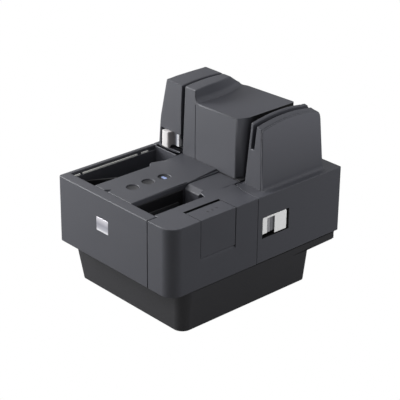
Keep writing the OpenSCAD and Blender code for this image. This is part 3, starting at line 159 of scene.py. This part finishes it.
def tame(item, radius):
    """Makes the rounding smaller wherever a corner of it ran away along a flat seam: a rounded
    point is bad where it lies more than two radii from every rounded edge."""
    mesh = item.data
    spots = np.array([v.co for v in mesh.vertices])
    ends = np.array([e.vertices[:] for e in mesh.edges])
    weights = mesh.attributes["bevel_weight_edge"].data
    own_points = tree_of(spots)
    for turn in range(9):
        value = [w.value for w in weights]
        on = np.array([k for k, v in enumerate(value) if v > 0])
        along = []
        for a, b in zip(spots[ends[on, 0]], spots[ends[on, 1]]):
            count = int(np.linalg.norm(b - a) / radius) + 2
            along.extend(a + (b - a) * t for t in np.linspace(0, 1, count))
        along = tree_of(along)
        mesh.update_tag()
        bpy.context.view_layer.update()
        result = item.evaluated_get(bpy.context.evaluated_depsgraph_get()).data
        bad = np.array([v.co for v in result.vertices if along.find(v.co)[2] > 2 * radius
                        and own_points.find(v.co)[2] > 1e-6])
        if not len(bad):
            break
        corners = np.unique(ends[on])
        gap = np.linalg.norm(bad[:, None] - spots[corners], axis=-1)
        close = corners[np.argsort(gap, axis=1)[:, :1 + 2 * turn]]
        for k in on[np.isin(ends[on], close).any(axis=1)]:
            lower = value[k] * 0.5 if turn < 2 and value[k] > 0.25 else 0.0
            weights[int(k)].value = lower
            mesh.edges[int(k)].use_edge_sharp = lower == 0.0


def inside(verts, low, high):
    """True if all the vertices lie in the box, given in millimetres."""
    return all(low[k] * MM <= v.co[k] <= high[k] * MM for v in verts for k in range(3))


def moulding(node, material, radius, edges=(), dark=()):
    """The CAD shell as one surface: flat regions joined, and every sharp edge rounded.
    The radius, in millimetres, shrinks to a third of the distance to the nearest sharp
    neighbour. In the boxes of edges it is multiplied by a factor, and faces in the boxes of
    dark get the matt black of painted shade."""
    flat, sharp, bent = math.radians(0.6), math.radians(25.0), 0.35
    least = 0.12
    size = radius * MM
    work = bmesh.new()
    work.from_mesh(nodes[node].data)
    bmesh.ops.remove_doubles(work, verts=work.verts, dist=2e-6)
    bmesh.ops.dissolve_limit(work, angle_limit=flat, verts=work.verts, edges=work.edges,
                             delimit={"NORMAL"})
    for face in work.faces:
        face.material_index = int(any(inside(face.verts, *box) for box in dark))
    weight = work.edges.layers.float.new("bevel_weight_edge")
    largest = max([1.0] + [factor for low, high, factor in edges])
    bend = {e: e.calc_face_angle(0.0) if len(e.link_faces) == 2 else 0.0 for e in work.edges}
    for edge, turn in bend.items():
        if turn < sharp:
            continue
        along = (edge.verts[1].co - edge.verts[0].co).normalized()
        factor = 1.0
        for low, high, value in edges:
            if inside(edge.verts, low, high):
                factor = value
        reach = 3 * size * factor
        for vert in edge.verts:
            for other in vert.link_edges:
                step = other.other_vert(vert).co - vert.co
                across = step.cross(along).length
                if bend[other] > bent and across > bent * step.length:
                    reach = min(reach, across)
        edge[weight] = reach / (3 * size * largest)
        if edge[weight] * largest < least:
            edge[weight] = 0.0
            edge.smooth = False
    mesh = bpy.data.meshes.new(node + "_moulding")
    work.to_mesh(mesh)
    work.free()
    for face in mesh.polygons:
        face.use_smooth = True
    mesh.materials.append(material)
    mesh.materials.append(shadow)
    item = bpy.data.objects.new(node + "_moulding", mesh)
    bevel = item.modifiers.new("edge_radius", "BEVEL")
    bevel.width = size * largest
    bevel.segments = 2
    bevel.limit_method = "WEIGHT"
    bevel.use_clamp_overlap = False
    bevel.loop_slide = False
    place(item, node)
    tame(item, size * max(1.0, 0.8 * largest))
    normals = item.modifiers.new("face_normals", "WEIGHTED_NORMAL")
    normals.keep_sharp = True
    normals.weight = 80


# Dark ABS of the base and the fixed track: half matt, with the grain of a spark-eroded mould.
dark_abs = moulded("abs_dark_spark_eroded", "#313134", "#2d2d30", 0.52)
# Painted shade: matt black on the joint faces of the covers and in open windows, where their gaps
# lie in shade.
shadow = moulded("painted_shade_matt_black", "#060607", "#040405", 0.85)
moulding("base_tub", dark_abs, 1.2)


# Feet: four low round feet under the floor of the tub, on which the machine stands.
# They are moulded in rubber and stuck on.
def dress(material, *names):
    """Gives CAD nodes the material of the real piece."""
    for name in names:
        nodes[name].data.materials.clear()
        nodes[name].data.materials.append(material)


# Moulded rubber of feet, tyres and belts: matt and almost black, with a coarse open grain.
rubber = moulded("rubber_moulded", "#1b1b1c", "#232324", 0.72, grain=1100.0, depth=0.0001)
dress(rubber, "rubber_feet")


# Frame plate: a sheet of zinc plated steel on the posts of the tub, held by four screws.
# It carries both motors and every shaft; the shafts run in sintered bronze bushes that are
# pressed into it.

# Zinc plated steel of the frame, shafts, pins and motor cans: bright grey, a little cloudy.
steel = moulded("steel_zinc_plated", "#b3b5b8", "#9fa2a6", 0.34, grain=420.0, depth=0.00002,
                Metallic=0.95)
# Sintered bronze: dull yellow brown, with the open pores that hold its oil.
bronze = moulded("bronze_sintered", "#a5804c", "#8c6a3c", 0.45, grain=1900.0, Metallic=0.9)
dress(steel, "frame_plate", "case_screws")
dress(bronze, "shaft_bushes")


# Inner track: the floor and the inner wall of the path that turns round the back.
# It is one moulding in dark ABS that stands over the frame plate.
dress(dark_abs, "inner_track")


# Transport drive: a motor with its pulley, one moulded rubber belt and three steel shafts.
# Each shaft has a roller with rubber tyres, which grip the document through a window.
dress(steel, "transport_motor", "motor_pulley",
      "transport_shaft_1", "transport_shaft_2", "transport_shaft_3")
dress(rubber, "transport_belt", "transport_roller_1", "transport_roller_2",
      "transport_roller_3")


# Feed drive: the second motor turns the steel feed shaft, and a belt takes that on to the pick
# roller. Both rollers are rubber, and the rubber retard roller holds back all sheets but one.
dress(steel, "feed_motor", "feed_shaft")
dress(rubber, "feed_belt", "feed_roller", "pick_roller", "retard_roller")


# Pinch rollers: they press the document against the driven tyres.
# Each is moulded in dark ABS with its stub axles, which turn in the ears of an outer wall.
dress(dark_abs, "pinch_roller_1", "pinch_roller_2", "pinch_roller_3")


# Scan units: black ABS housings on both sides of the track, each with its row of sensors.
# A window of smoked float glass is glued into the track wall in front of each.

# Black ABS of the pockets and small mechanisms: plain mould finish, a little glossier.
black_abs = moulded("abs_black_plain", "#19191b", "#151517", 0.42, grain=900.0)
# Smoked float glass with a hard clear coat: almost black, with sharp reflections.
glass, shader = start("float_glass_smoked", "#15191b", 0.06,
                      Coat_Weight=0.6, Coat_Roughness=0.03)
dress(black_abs, "front_scan_unit", "rear_scan_unit")
dress(glass, "front_scan_glass", "rear_scan_glass")


# Reading heads: the head for magnetic ink beside the track and the one in the card slot.
# Both have a steel shell round their coil, and each fills a pocket in the wall beside it.
dress(steel, "micr_head", "card_reader_head")


# Imprinter: the ink cartridge, a black moulded box, drops into its tray on the feed side.
# The tray is moulded in dark ABS and stands on the frame plate.
dress(dark_abs, "cartridge_tray")
dress(black_abs, "ink_cartridge")


# Boards and sockets: glass-fibre boards, the large one on posts in the tub, the small one
# under the buttons. The power inlet is black plastic and the data socket a folded steel
# shell; both stand on the large board, behind holes in the rear of the tub.

# Green solder resist: smooth and half glossy over the weave of the board.
board = moulded("board_solder_resist", "#1f5a38", "#194b2e", 0.30, grain=700.0)
dress(board, "main_board", "button_board")
dress(black_abs, "power_inlet")
dress(steel, "usb_socket")


# Main case: the left and front outer shell with the rims round the pockets.
# It is injection moulded in charcoal ABS and set on the tub; its right end meets the feed
# cover in an upright joint.

# Charcoal ABS of the outer mouldings: half matt, with the grain of a spark-eroded mould.
charcoal = moulded("abs_charcoal_spark_eroded", "#46474d", "#424349", 0.50)
# Edges along a joint between two covers are a quarter as round as the others.
joint = 0.25
# Its joint face at the feed cover gets the matt black of painted shade.
moulding("main_case", charcoal, 1.2, edges=[((64.5, -149, 0), (66.5, -144, 160), joint)],
         dark=[((65.6, -149, 0), (65.7, -143, 160))])


# Rear cover: the fixed part of the case behind the towers, round the turn of the track.
# It is injection moulded in charcoal ABS like the main case and set on the tub.
moulding("rear_cover", charcoal, 1.0)


# Feed cover: the deck and side of the feed end, with the large round front corner.
# Charcoal ABS; its joint faces to the case and round the ink cover stay dark, with the matt black
# of painted shade.
moulding("feed_cover", charcoal, 1.0,
         edges=[((66, -149, 0), (69, -144, 160), joint),
                ((76, -101, 95), (111, -40, 157), joint),
                ((100, -103, 98), (111, -38, 104), 1.0),
                ((57, -8, 140), (111, -2, 157), joint)],
         dark=[((77.4, -101, 95), (77.6, -40, 157)), ((77, -41.1, 95), (111, -40.9, 157))])


# Pockets: the feed tray and the eject tray stand in the case on the frame plate.
# The feed tray is moulded in black ABS, the eject tray in charcoal like the case.
moulding("feed_tray", black_abs, 0.6)
moulding("eject_tray", charcoal, 0.6)


# Strips in the eject pocket: three low bars in a row on the upper edge of its left wall.
# They are moulded in white polystyrene and glued on.

# White polystyrene: smooth and satin, a little yellow in its shade.
white = moulded("polystyrene_white", "#fafaf6", "#dcdcd8", 0.45)
moulding("tray_strip", white, 0.3)


# Movers of the pockets: the eject arm keeps the scanned cheques upright, and the pusher
# presses the waiting ones to the rollers. Black and dark ABS, on a pin and on a rail.
moulding("eject_arm", black_abs, 0.5)
dress(dark_abs, "feed_pusher")


# Console: the plate between the pockets, with its raised rear panel and three button wells.
# Injection moulded in charcoal ABS and clipped onto the inner track.
moulding("console_cover", charcoal, 1.0)


# Feed guide: the block between the feed pocket and the track, which leads cheques in.
# It is moulded in charcoal ABS and holds the retard roller and the magnetic ink head.
moulding("feed_guide", charcoal, 1.2)


# Buttons: three round dished caps in the console, moulded in dark ABS.
# Each slides in its well over a switch on the button board, and springs back.
for button in ("enter_button", "clear_button", "power_button"):
    moulding(button, dark_abs, 0.5)


# Power lamp: a clear blue light guide, flush in the dish of the third button.
# It is moulded in acrylic, pushed into its hole and lit from below.
def ring_piece(name, rings, material):
    """A surface through closed rings of points: one parameter runs from ring to ring, the
    other round each ring, and the last ring is closed by one face."""
    rings = np.array(rings, float)
    count, around = rings.shape[:2]
    faces = [(i * around + j, i * around + (j + 1) % around,
              (i + 1) * around + (j + 1) % around, (i + 1) * around + j)
             for i in range(count - 1) for j in range(around)]
    faces.append(tuple(range((count - 1) * around, count * around)))
    mesh = bpy.data.meshes.new(name)
    mesh.from_pydata(rings.reshape(-1, 3).tolist(), [], faces)
    for face in mesh.polygons:
        face.use_smooth = True
    mesh.materials.append(material)
    item = bpy.data.objects.new(name, mesh)
    normals = item.modifiers.new("face_normals", "WEIGHTED_NORMAL")
    normals.weight = 80
    return item


def rounded(width, height, corner, inset, steps=5):
    """Outline of a rectangle drawn in by inset, anticlockwise: each corner is a quarter circle
    about its own centre, by cosine and sine."""
    w, h = width / 2 - inset, height / 2 - inset
    r = max(corner - inset, 0.02)
    out = []
    for k, (sx, sy) in enumerate(((1, 1), (-1, 1), (-1, -1), (1, -1))):
        a = np.linspace(0, math.pi / 2, steps + 1) + k * math.pi / 2
        out.append(np.stack([sx * (w - r) + r * np.cos(a), sy * (h - r) + r * np.sin(a)],
                            axis=-1))
    return np.concatenate(out)


def plate(name, centre, u_axis, v_axis, size, corner, profile, material):
    """A rounded plate, in millimetres: its outline is drawn in and raised along the normal by
    each (inset, height) step of the profile."""
    u, v = np.array(u_axis, float), np.array(v_axis, float)
    n = np.cross(u, v)
    rings = []
    for inset, height in profile:
        flat = rounded(*size, corner, inset)
        rings.append((np.array(centre) + flat[:, :1] * u + flat[:, 1:] * v + n * height) * MM)
    return ring_piece(name, rings, material)


# Clear acrylic with blue light in it: pale blue, a little brighter than its surroundings.
blue, shader = start("acrylic_blue_lit", "#8796bd", 0.25,
                     Emission_Color=rgb("#8ea6f0"), Emission_Strength=0.12)
place(plate("lamp_lens", (-17.5, -48.0, 153.95), (1, 0, 0), (0, 1, 0), (9.4, 4.4), 2.1,
            [(0, 0), (0, 0.4), (0.25, 0.52), (0.8, 0.56), (1.8, 0.52)], blue), "power_light")


# Middle cover: the middle tower with its raised column and the low hood in front of it.
# Charcoal ABS, clipped over the inner track; the side towards the feed track has painted shade.
def painted_side_light(name, rough, facing, spans, stops):
    """Charcoal ABS with painted light on faces that look to the right: its colour runs through
    the stops by the product of a ramp in the normal's X and one in each span of a coordinate,
    in metres."""
    mat, shader = start(name, "#46474d", rough)
    where = add(mat, "ShaderNodeTexCoord")
    look = add(mat, "ShaderNodeSeparateXYZ", {"Vector": where.outputs["Normal"]})
    spot = add(mat, "ShaderNodeSeparateXYZ", {"Vector": where.outputs["Object"]})
    share = add(mat, "ShaderNodeMapRange", {"Value": look.outputs["X"]},
                From_Min=facing[0], From_Max=facing[1]).outputs["Result"]
    for axis, low, high in spans:
        mask = add(mat, "ShaderNodeMapRange", {"Value": spot.outputs[axis]},
                   From_Min=low, From_Max=high)
        share = add(mat, "ShaderNodeMath", {0: share, 1: mask.outputs["Result"]},
                    operation="MULTIPLY").outputs[0]
    light_ramp = add(mat, "ShaderNodeValToRGB", {"Fac": share}, stops)
    pits = add(mat, "ShaderNodeTexNoise", {"Vector": where.outputs["Object"]},
               Scale=1500.0, Detail=3.0)
    bump = add(mat, "ShaderNodeBump", {"Height": pits.outputs["Fac"]},
               Strength=0.35, Distance=0.00005)
    connect(mat, light_ramp.outputs["Color"], shader.inputs["Base Color"])
    connect(mat, bump.outputs["Normal"], shader.inputs["Normal"])
    return mat


# Charcoal ABS with painted shade on the track side: matt black on the hood's side, which lies in
# shade in the gap below the right tower.
shade_painted_side = painted_side_light("charcoal_abs_painted_shade_side", 0.55, (0.70, 0.95),
                        [("Y", 0.024, 0.040), ("X", 0.030, 0.032)],
                        [(0, "#46474d"), (1, "#0a0a0b")])
moulding("center_cover", shade_painted_side, 1.6, edges=[((-31, 15, 150), (-28, 18, 235), joint),
                                                ((-24, 15, 236), (48, 16.2, 240), 1.5)])


# Hinge pins: turned steel pins, zinc plated, upright in the rear corners of the case.
# Each transport cover swings on its own pin.
dress(steel, "cover_hinge_pins")


# Right transport cover: the outer skin of the right tower, with the window of its latch.
# It is injection moulded in charcoal ABS and swings outwards on its hinge pin.

# Charcoal ABS with painted sheen on the inclined side of the tower, lighter towards the top.
sheen_painted_side = painted_side_light("charcoal_abs_painted_sheen_side", 0.50, (0.90, 0.98), [("Z", 0.157, 0.250)],
                    [(0, "#46474d"), (1, "#62636a"), (0.08, "#4d4e54")])
# The faces round the latch window get the matt black of painted shade.
moulding("right_cover", sheen_painted_side, 1.0,
         edges=[((57, -8, 20), (111, 6, 157), joint), ((98, 4, 95), (111, 54, 128), joint)],
         dark=[((98, 5.2, 96.9), (111, 52.6, 126.1))])


# Right guide: the inner moulding of that cover, with the track wall, the rib and the slot
# for cards. It is moulded in charcoal ABS and fixed inside the skin.
moulding("right_guide", charcoal, 1.2, edges=[((90, 14, 150), (98, 18, 260), joint)])


# Right latch: a silver-painted slide with a ribbed finger scoop, behind a window in the cover.
# It is moulded in ABS; it slides to the rear to free the cover, and a spring returns it.
def step(value, at, width=0.35):
    """Rises from 0 to 1 across width, centred on at, by three times the square less twice the
    cube."""
    t = np.clip((value - at) / width + 0.5, 0, 1)
    return t * t * (3 - 2 * t)


def relief(name, spans, surface, materials, choose):
    """A sheet over a grid of two parameters; surface gives the points, choose the material."""
    a, b = np.meshgrid(np.array(spans[0]), np.array(spans[1]), indexing="ij")
    points = surface(a, b)
    n, m = a.shape
    faces = [(i * m + j, (i + 1) * m + j, (i + 1) * m + j + 1, i * m + j + 1)
             for i in range(n - 1) for j in range(m - 1)]
    mesh = bpy.data.meshes.new(name)
    mesh.from_pydata((points.reshape(-1, 3) * MM).tolist(), [], faces)
    for material in materials:
        mesh.materials.append(material)
    pick = choose(a, b)[:-1, :-1].reshape(-1).astype(int)
    for face, k in zip(mesh.polygons, pick):
        face.use_smooth = True
        face.material_index = int(k)
    return bpy.data.objects.new(name, mesh)


face_x = 109.4                       # outer face of the slide
slide_y, slide_z = (5.7, 49.1), (97.4, 125.6)
scoop_y, scoop_z = (14.2, 27.2), (102.4, 122.8)
split_y = 20.2                       # the scoop is deeper behind this line
rib_pitch = 3.25
corner = 2.4                         # corner radius of the slide
scoop_foot, flat_foot = 102.6, 98.7  # below these lines the window is open


def slide_foot(y):
    """Lower end of the slide: higher under the scoop than under the flat."""
    return np.where(y < scoop_y[1], scoop_foot, flat_foot)


def right_latch_surface(y, z):
    """Depth behind the case face: a flat plate on the right and a stepped scoop with cosine
    ribs on the left, with a rim that falls off by the square of the distance to the outline."""
    scoop = (step(y, scoop_y[0]) * (1 - step(y, scoop_y[1]))
             * (1 - step(z, scoop_z[1])) * step(z, scoop_z[0]))
    ribs = 0.2 * np.cos((y - scoop_y[0]) * 2 * math.pi / rib_pitch)
    depth = scoop * (0.8 + 0.6 * step(y, split_y, 1.2) + ribs)
    depth = np.where(z < slide_foot(y), 6.6, depth)
    across = np.minimum(y - slide_y[0], slide_y[1] - y)
    rise = np.minimum(z - slide_z[0], slide_z[1] - z)
    inner = np.hypot(np.minimum(across - corner, 0), np.minimum(rise - corner, 0))
    edge = np.where((across < corner) & (rise < corner), corner - inner,
                    np.minimum(across, rise))
    depth = np.maximum(depth, 0.7 * (1 - np.clip(edge / 0.9, 0, 1)) ** 2)
    depth = np.where(edge < 0.02, 5.6, depth)
    return np.stack([face_x - depth, y, z], axis=-1)


def right_latch_paint_and_shade(y, z):
    """Silver paint on the flat, painted shade in two depths in the scoop and painted black shade
    in the open window.
    """
    scoop_shade = (y > scoop_y[0]) & (y < 27.1) & (z < scoop_z[1])
    return np.where(z < slide_foot(y), 3,
                    np.where(scoop_shade, np.where(y < split_y, 1, 2), 0))


# Bright silver paint on the flat: fine metal flake, satin and almost white.
paint = moulded("silver_paint_bright", "#fdfdfd", "#fafafb", 0.40, grain=2600.0, depth=0.00002)
# Painted shade in the finger scoop: matt grey, darker in the deeper part behind split_y.
scoop_painted_shade = moulded("scoop_painted_shade_grey", "#a6a6aa", "#9c9ca0", 0.55, grain=1200.0)
scoop_painted_deep_shade = moulded("scoop_painted_deep_shade_grey", "#7e7e83", "#76767b", 0.55, grain=1200.0)
# Even grids, with extra lines close on both sides of every step of the surface.
ys = np.unique(np.concatenate([np.linspace(*slide_y, 125),
                               [5.71, 49.09, 14.0, 14.4, 27.0, 27.4]]))
zs = np.unique(np.concatenate([np.linspace(*slide_z, 85),
                               [97.41, 125.59, 98.65, 98.75, 102.55, 102.65]]))
place(relief("right_latch_slide", (ys, zs), right_latch_surface,
             [paint, scoop_painted_shade, scoop_painted_deep_shade, shadow], right_latch_paint_and_shade), "right_latch")


# Left transport cover: the left tower with its deck, the outer wall of the left track.
# It is injection moulded in charcoal ABS and swings outwards on its hinge pin.
moulding("left_cover", charcoal, 1.4, edges=[((-98, 14, 203), (-84, 16, 256), 1.5)])


# Left latch: a silver-painted slide with a thumb pad in front and a hollow beside it.
# It is moulded in ABS and slides against a spring in the foot of the left tower.
outline = np.array([(-89.6, 25.0), (-89.6, 11.6), (-89.2, 10.6), (-88.2, 10.0), (-86.6, 9.8),
                    (-80.0, 9.8), (-78.2, 10.0), (-77.0, 10.7), (-76.2, 12.0), (-75.5, 13.8),
                    (-74.6, 15.4), (-73.2, 16.6), (-71.4, 17.1), (-69.4, 17.0), (-67.4, 16.5),
                    (-65.4, 15.9), (-63.6, 15.4), (-62.0, 15.1), (-60.9, 15.1), (-60.1, 15.6),
                    (-59.9, 25.0)])
middle = outline.mean(axis=0)
# The foot is higher beside the pad than under it; the rim is drawn in to round its edges.
top = 182.5
foot = 160.0 + 5.4 * step(outline[:, 0], -75.6, 2.0)
tall = top - foot - 0.8
rings = []
for inset, level in ((1.0, foot), (0.35, foot + 0.25), (0.0, foot + 0.8),
                     (0.0, foot + 0.5 * tall), (0.0, foot + tall),
                     (0.35, np.full(len(outline), top - 0.2)),
                     (1.0, np.full(len(outline), top))):
    pull = outline + (middle - outline) * (inset / 14.0)
    rings.append(np.column_stack([pull, level]) * MM)
# Silver paint seen in a hollow: it darkens where the hollow turns away from the light.
hollow = moulded("silver_paint_in_hollow", "#f2f2f3", "#eaebed", 0.30, grain=2600.0,
                 depth=0.00002)
where = add(hollow, "ShaderNodeTexCoord").outputs["Object"]
side = add(hollow, "ShaderNodeSeparateXYZ", {"Vector": where}).outputs["X"]
span = add(hollow, "ShaderNodeMapRange", {"Value": side}, From_Min=-0.0785, From_Max=-0.0600)
shade = add(hollow, "ShaderNodeValToRGB", {"Fac": span.outputs["Result"]},
            [(0, "#d6d4d4"), (1, "#dededf"), (0.14, "#8c8888"), (0.3, "#646264"),
             (0.45, "#4e4e52"), (0.58, "#66686e"), (0.7, "#8c8e96"), (0.82, "#bcbec2")])
connect(hollow, shade.outputs["Color"],
        hollow.node_tree.nodes["Principled BSDF"].inputs["Base Color"])
place(ring_piece("left_latch_slide_piece", rings, hollow), "left_latch")


# Ink cover: the lid over the ink bay, bent over the deck and the side of the feed end.
# Thin charcoal ABS; it swings out about a zinc plated steel pin along its lower edge.
# One joint face of the lid gets the matt black of painted shade.
moulding("ink_cover", charcoal, 0.6,
         edges=[((76, -101, 95), (111, -98, 157), 0.4), ((76, -43, 95), (111, -40, 157), 0.4)],
         dark=[((81, -99.4, 95), (111, -99.2, 157))])
dress(steel, "ink_cover_pin")


# Pips on the ink cover: three small raised bars that show where to press.
# They are moulded in dark ABS and set into the lid, turned with its edge; their darker colour is
# painted shade of the raised marks.
for k, (x, y) in enumerate(((95.4, -75.9), (95.4, -68.2), (94.4, -60.3))):
    pip = plate("ink_pip_%d" % (k + 1), (x, y, 155.95), (0.92, 0.39, 0), (-0.39, 0.92, 0),
                (3.6, 2.0), 0.9, [(0, 0), (0.05, 0.2), (0.35, 0.35), (0.7, 0.33)], dark_abs)
    bpy.context.scene.collection.objects.link(pip)
    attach(pip, body_of["ink_cover"])


# Front badge: a bare plate with a raised frame, glued in its recess in the front of the case.
# It is moulded in plastic and coated with metal in a vacuum.

# Metallised plastic: satin silver, with painted highlights towards the top and the bottom of the
# plate, darker in the middle.
plated, shader = start("metallised_plastic_satin", "#9b9ba3", 0.34, Metallic=0.25)
where = add(plated, "ShaderNodeTexCoord").outputs["Object"]
height = add(plated, "ShaderNodeSeparateXYZ", {"Vector": where}).outputs["Z"]
band = add(plated, "ShaderNodeMapRange", {"Value": height}, From_Min=0.107, From_Max=0.126)
tone = add(plated, "ShaderNodeValToRGB", {"Fac": band.outputs["Result"]},
           [(0, "#f4f4f8"), (1, "#e6e4ea"), (0.22, "#b4b4bc"), (0.5, "#9c9ca6")])
brush = add(plated, "ShaderNodeTexNoise", {"Vector": where}, Scale=900.0, Detail=2.0)
bump = add(plated, "ShaderNodeBump", {"Height": brush.outputs["Fac"]},
           Strength=0.2, Distance=0.00002)
connect(plated, tone.outputs["Color"], shader.inputs["Base Color"])
connect(plated, bump.outputs["Normal"], shader.inputs["Normal"])
place(plate("badge_field", (-21.25, -147.5, 116.5), (1, 0, 0), (0, 0, 1), (23.3, 18.8), 0.6,
            [(0, 0), (0, 0.25), (0.25, 0.5), (1.1, 0.5), (1.6, 0.3), (8, 0.3)],
            plated), "badge_plate")


# Floor and light: a pale paper sweep, lit by large soft lamps mostly from the front left.
# The camera sees floor and room as white, and reflections see a small share of that white.
def floor_sheet(reach=3.0, lines=13):
    """A flat sheet on the table plane: an even grid of two parameters, x and y."""
    axis = np.linspace(-reach, reach, lines)
    x, y = np.meshgrid(axis, axis)
    points = np.stack([x, y, np.zeros_like(x)], axis=-1).reshape(-1, 3)
    quads = [(i * lines + j, i * lines + j + 1, (i + 1) * lines + j + 1, (i + 1) * lines + j)
             for i in range(lines - 1) for j in range(lines - 1)]
    mesh = bpy.data.meshes.new("floor")
    mesh.from_pydata(points.tolist(), [], quads)
    return bpy.data.objects.new("floor", mesh)


def white_room(owner, plain, bright, target):
    """Shows bright to the camera and a tenth of it to reflections; the rest sees plain."""
    path = add(owner, "ShaderNodeLightPath")
    part = add(owner, "ShaderNodeMath",
               {0: path.outputs["Is Glossy Ray"], 2: path.outputs["Is Camera Ray"]},
               operation="MULTIPLY_ADD")
    part.inputs[1].default_value = 0.10
    mix = add(owner, "ShaderNodeMixShader", {0: part.outputs[0], 1: plain, 2: bright})
    connect(owner, mix.outputs[0], target)


white_light = (1, 1, 1, 1)
# Matt white paper, grey here because it is only seen by the light that it sends back.
paper, shader = start("paper_sweep_white", "#6a6a6a", 0.9)
where = add(paper, "ShaderNodeTexCoord").outputs["Object"]
tooth = add(paper, "ShaderNodeTexNoise", {"Vector": where}, Scale=600.0)
bump = add(paper, "ShaderNodeBump", {"Height": tooth.outputs["Fac"]},
           Strength=0.05, Distance=0.0002)
connect(paper, bump.outputs["Normal"], shader.inputs["Normal"])
bright = add(paper, "ShaderNodeEmission", Color=white_light, Strength=1.0)
white_room(paper, shader.outputs[0], bright.outputs[0],
           paper.node_tree.nodes["Material Output"].inputs["Surface"])
floor = floor_sheet()
bpy.context.scene.collection.objects.link(floor)
floor.data.materials.append(paper)

world = bpy.data.worlds.new("studio")
bpy.context.scene.world = world
world.use_nodes = True
air = world.node_tree.nodes["Background"]
air.inputs["Color"].default_value = white_light
air.inputs["Strength"].default_value = 0.28
seen = add(world, "ShaderNodeBackground", Color=white_light, Strength=1.0)
white_room(world, air.outputs[0], seen.outputs[0],
           world.node_tree.nodes["World Output"].inputs["Surface"])


def lamp(name, power, size, spot, aim, shine=True):
    """A square soft light at spot, turned towards aim; shine is whether reflections show it."""
    data = bpy.data.lights.new(name, "AREA")
    data.energy = power
    data.shape = "SQUARE"
    data.size = size
    item = bpy.data.objects.new(name, data)
    bpy.context.scene.collection.objects.link(item)
    direction = np.array(aim, float) - np.array(spot, float)
    z = -direction / np.linalg.norm(direction)
    x = np.cross([0.0, 0.0, 1.0], z)
    x /= np.linalg.norm(x)
    item.matrix_world = turned(x, np.cross(z, x), z, spot)
    item.visible_glossy = shine


lamp("key_left", 25.0, 0.8, (-1.1, -0.9, 0.7), (0, 0, 0.14))
lamp("key_low", 10.5, 0.8, (-1.3, -0.7, 0.4), (0, 0, 0.14))
lamp("top_front", 13.0, 1.0, (-0.4, -1.2, 1.9), (0, 0, 0.15))
lamp("rear_near", 20.0, 1.0, (0.9, 1.2, 0.7), (0, 0, 0.12), shine=False)
lamp("left", 8.0, 1.0, (-1.8, 0.3, 0.9), (0, 0, 0.12))
lamp("over", 3.5, 1.6, (0.2, -0.2, 2.3), (0, 0, 0.12))
bpy.context.scene.view_settings.view_transform = "Standard"
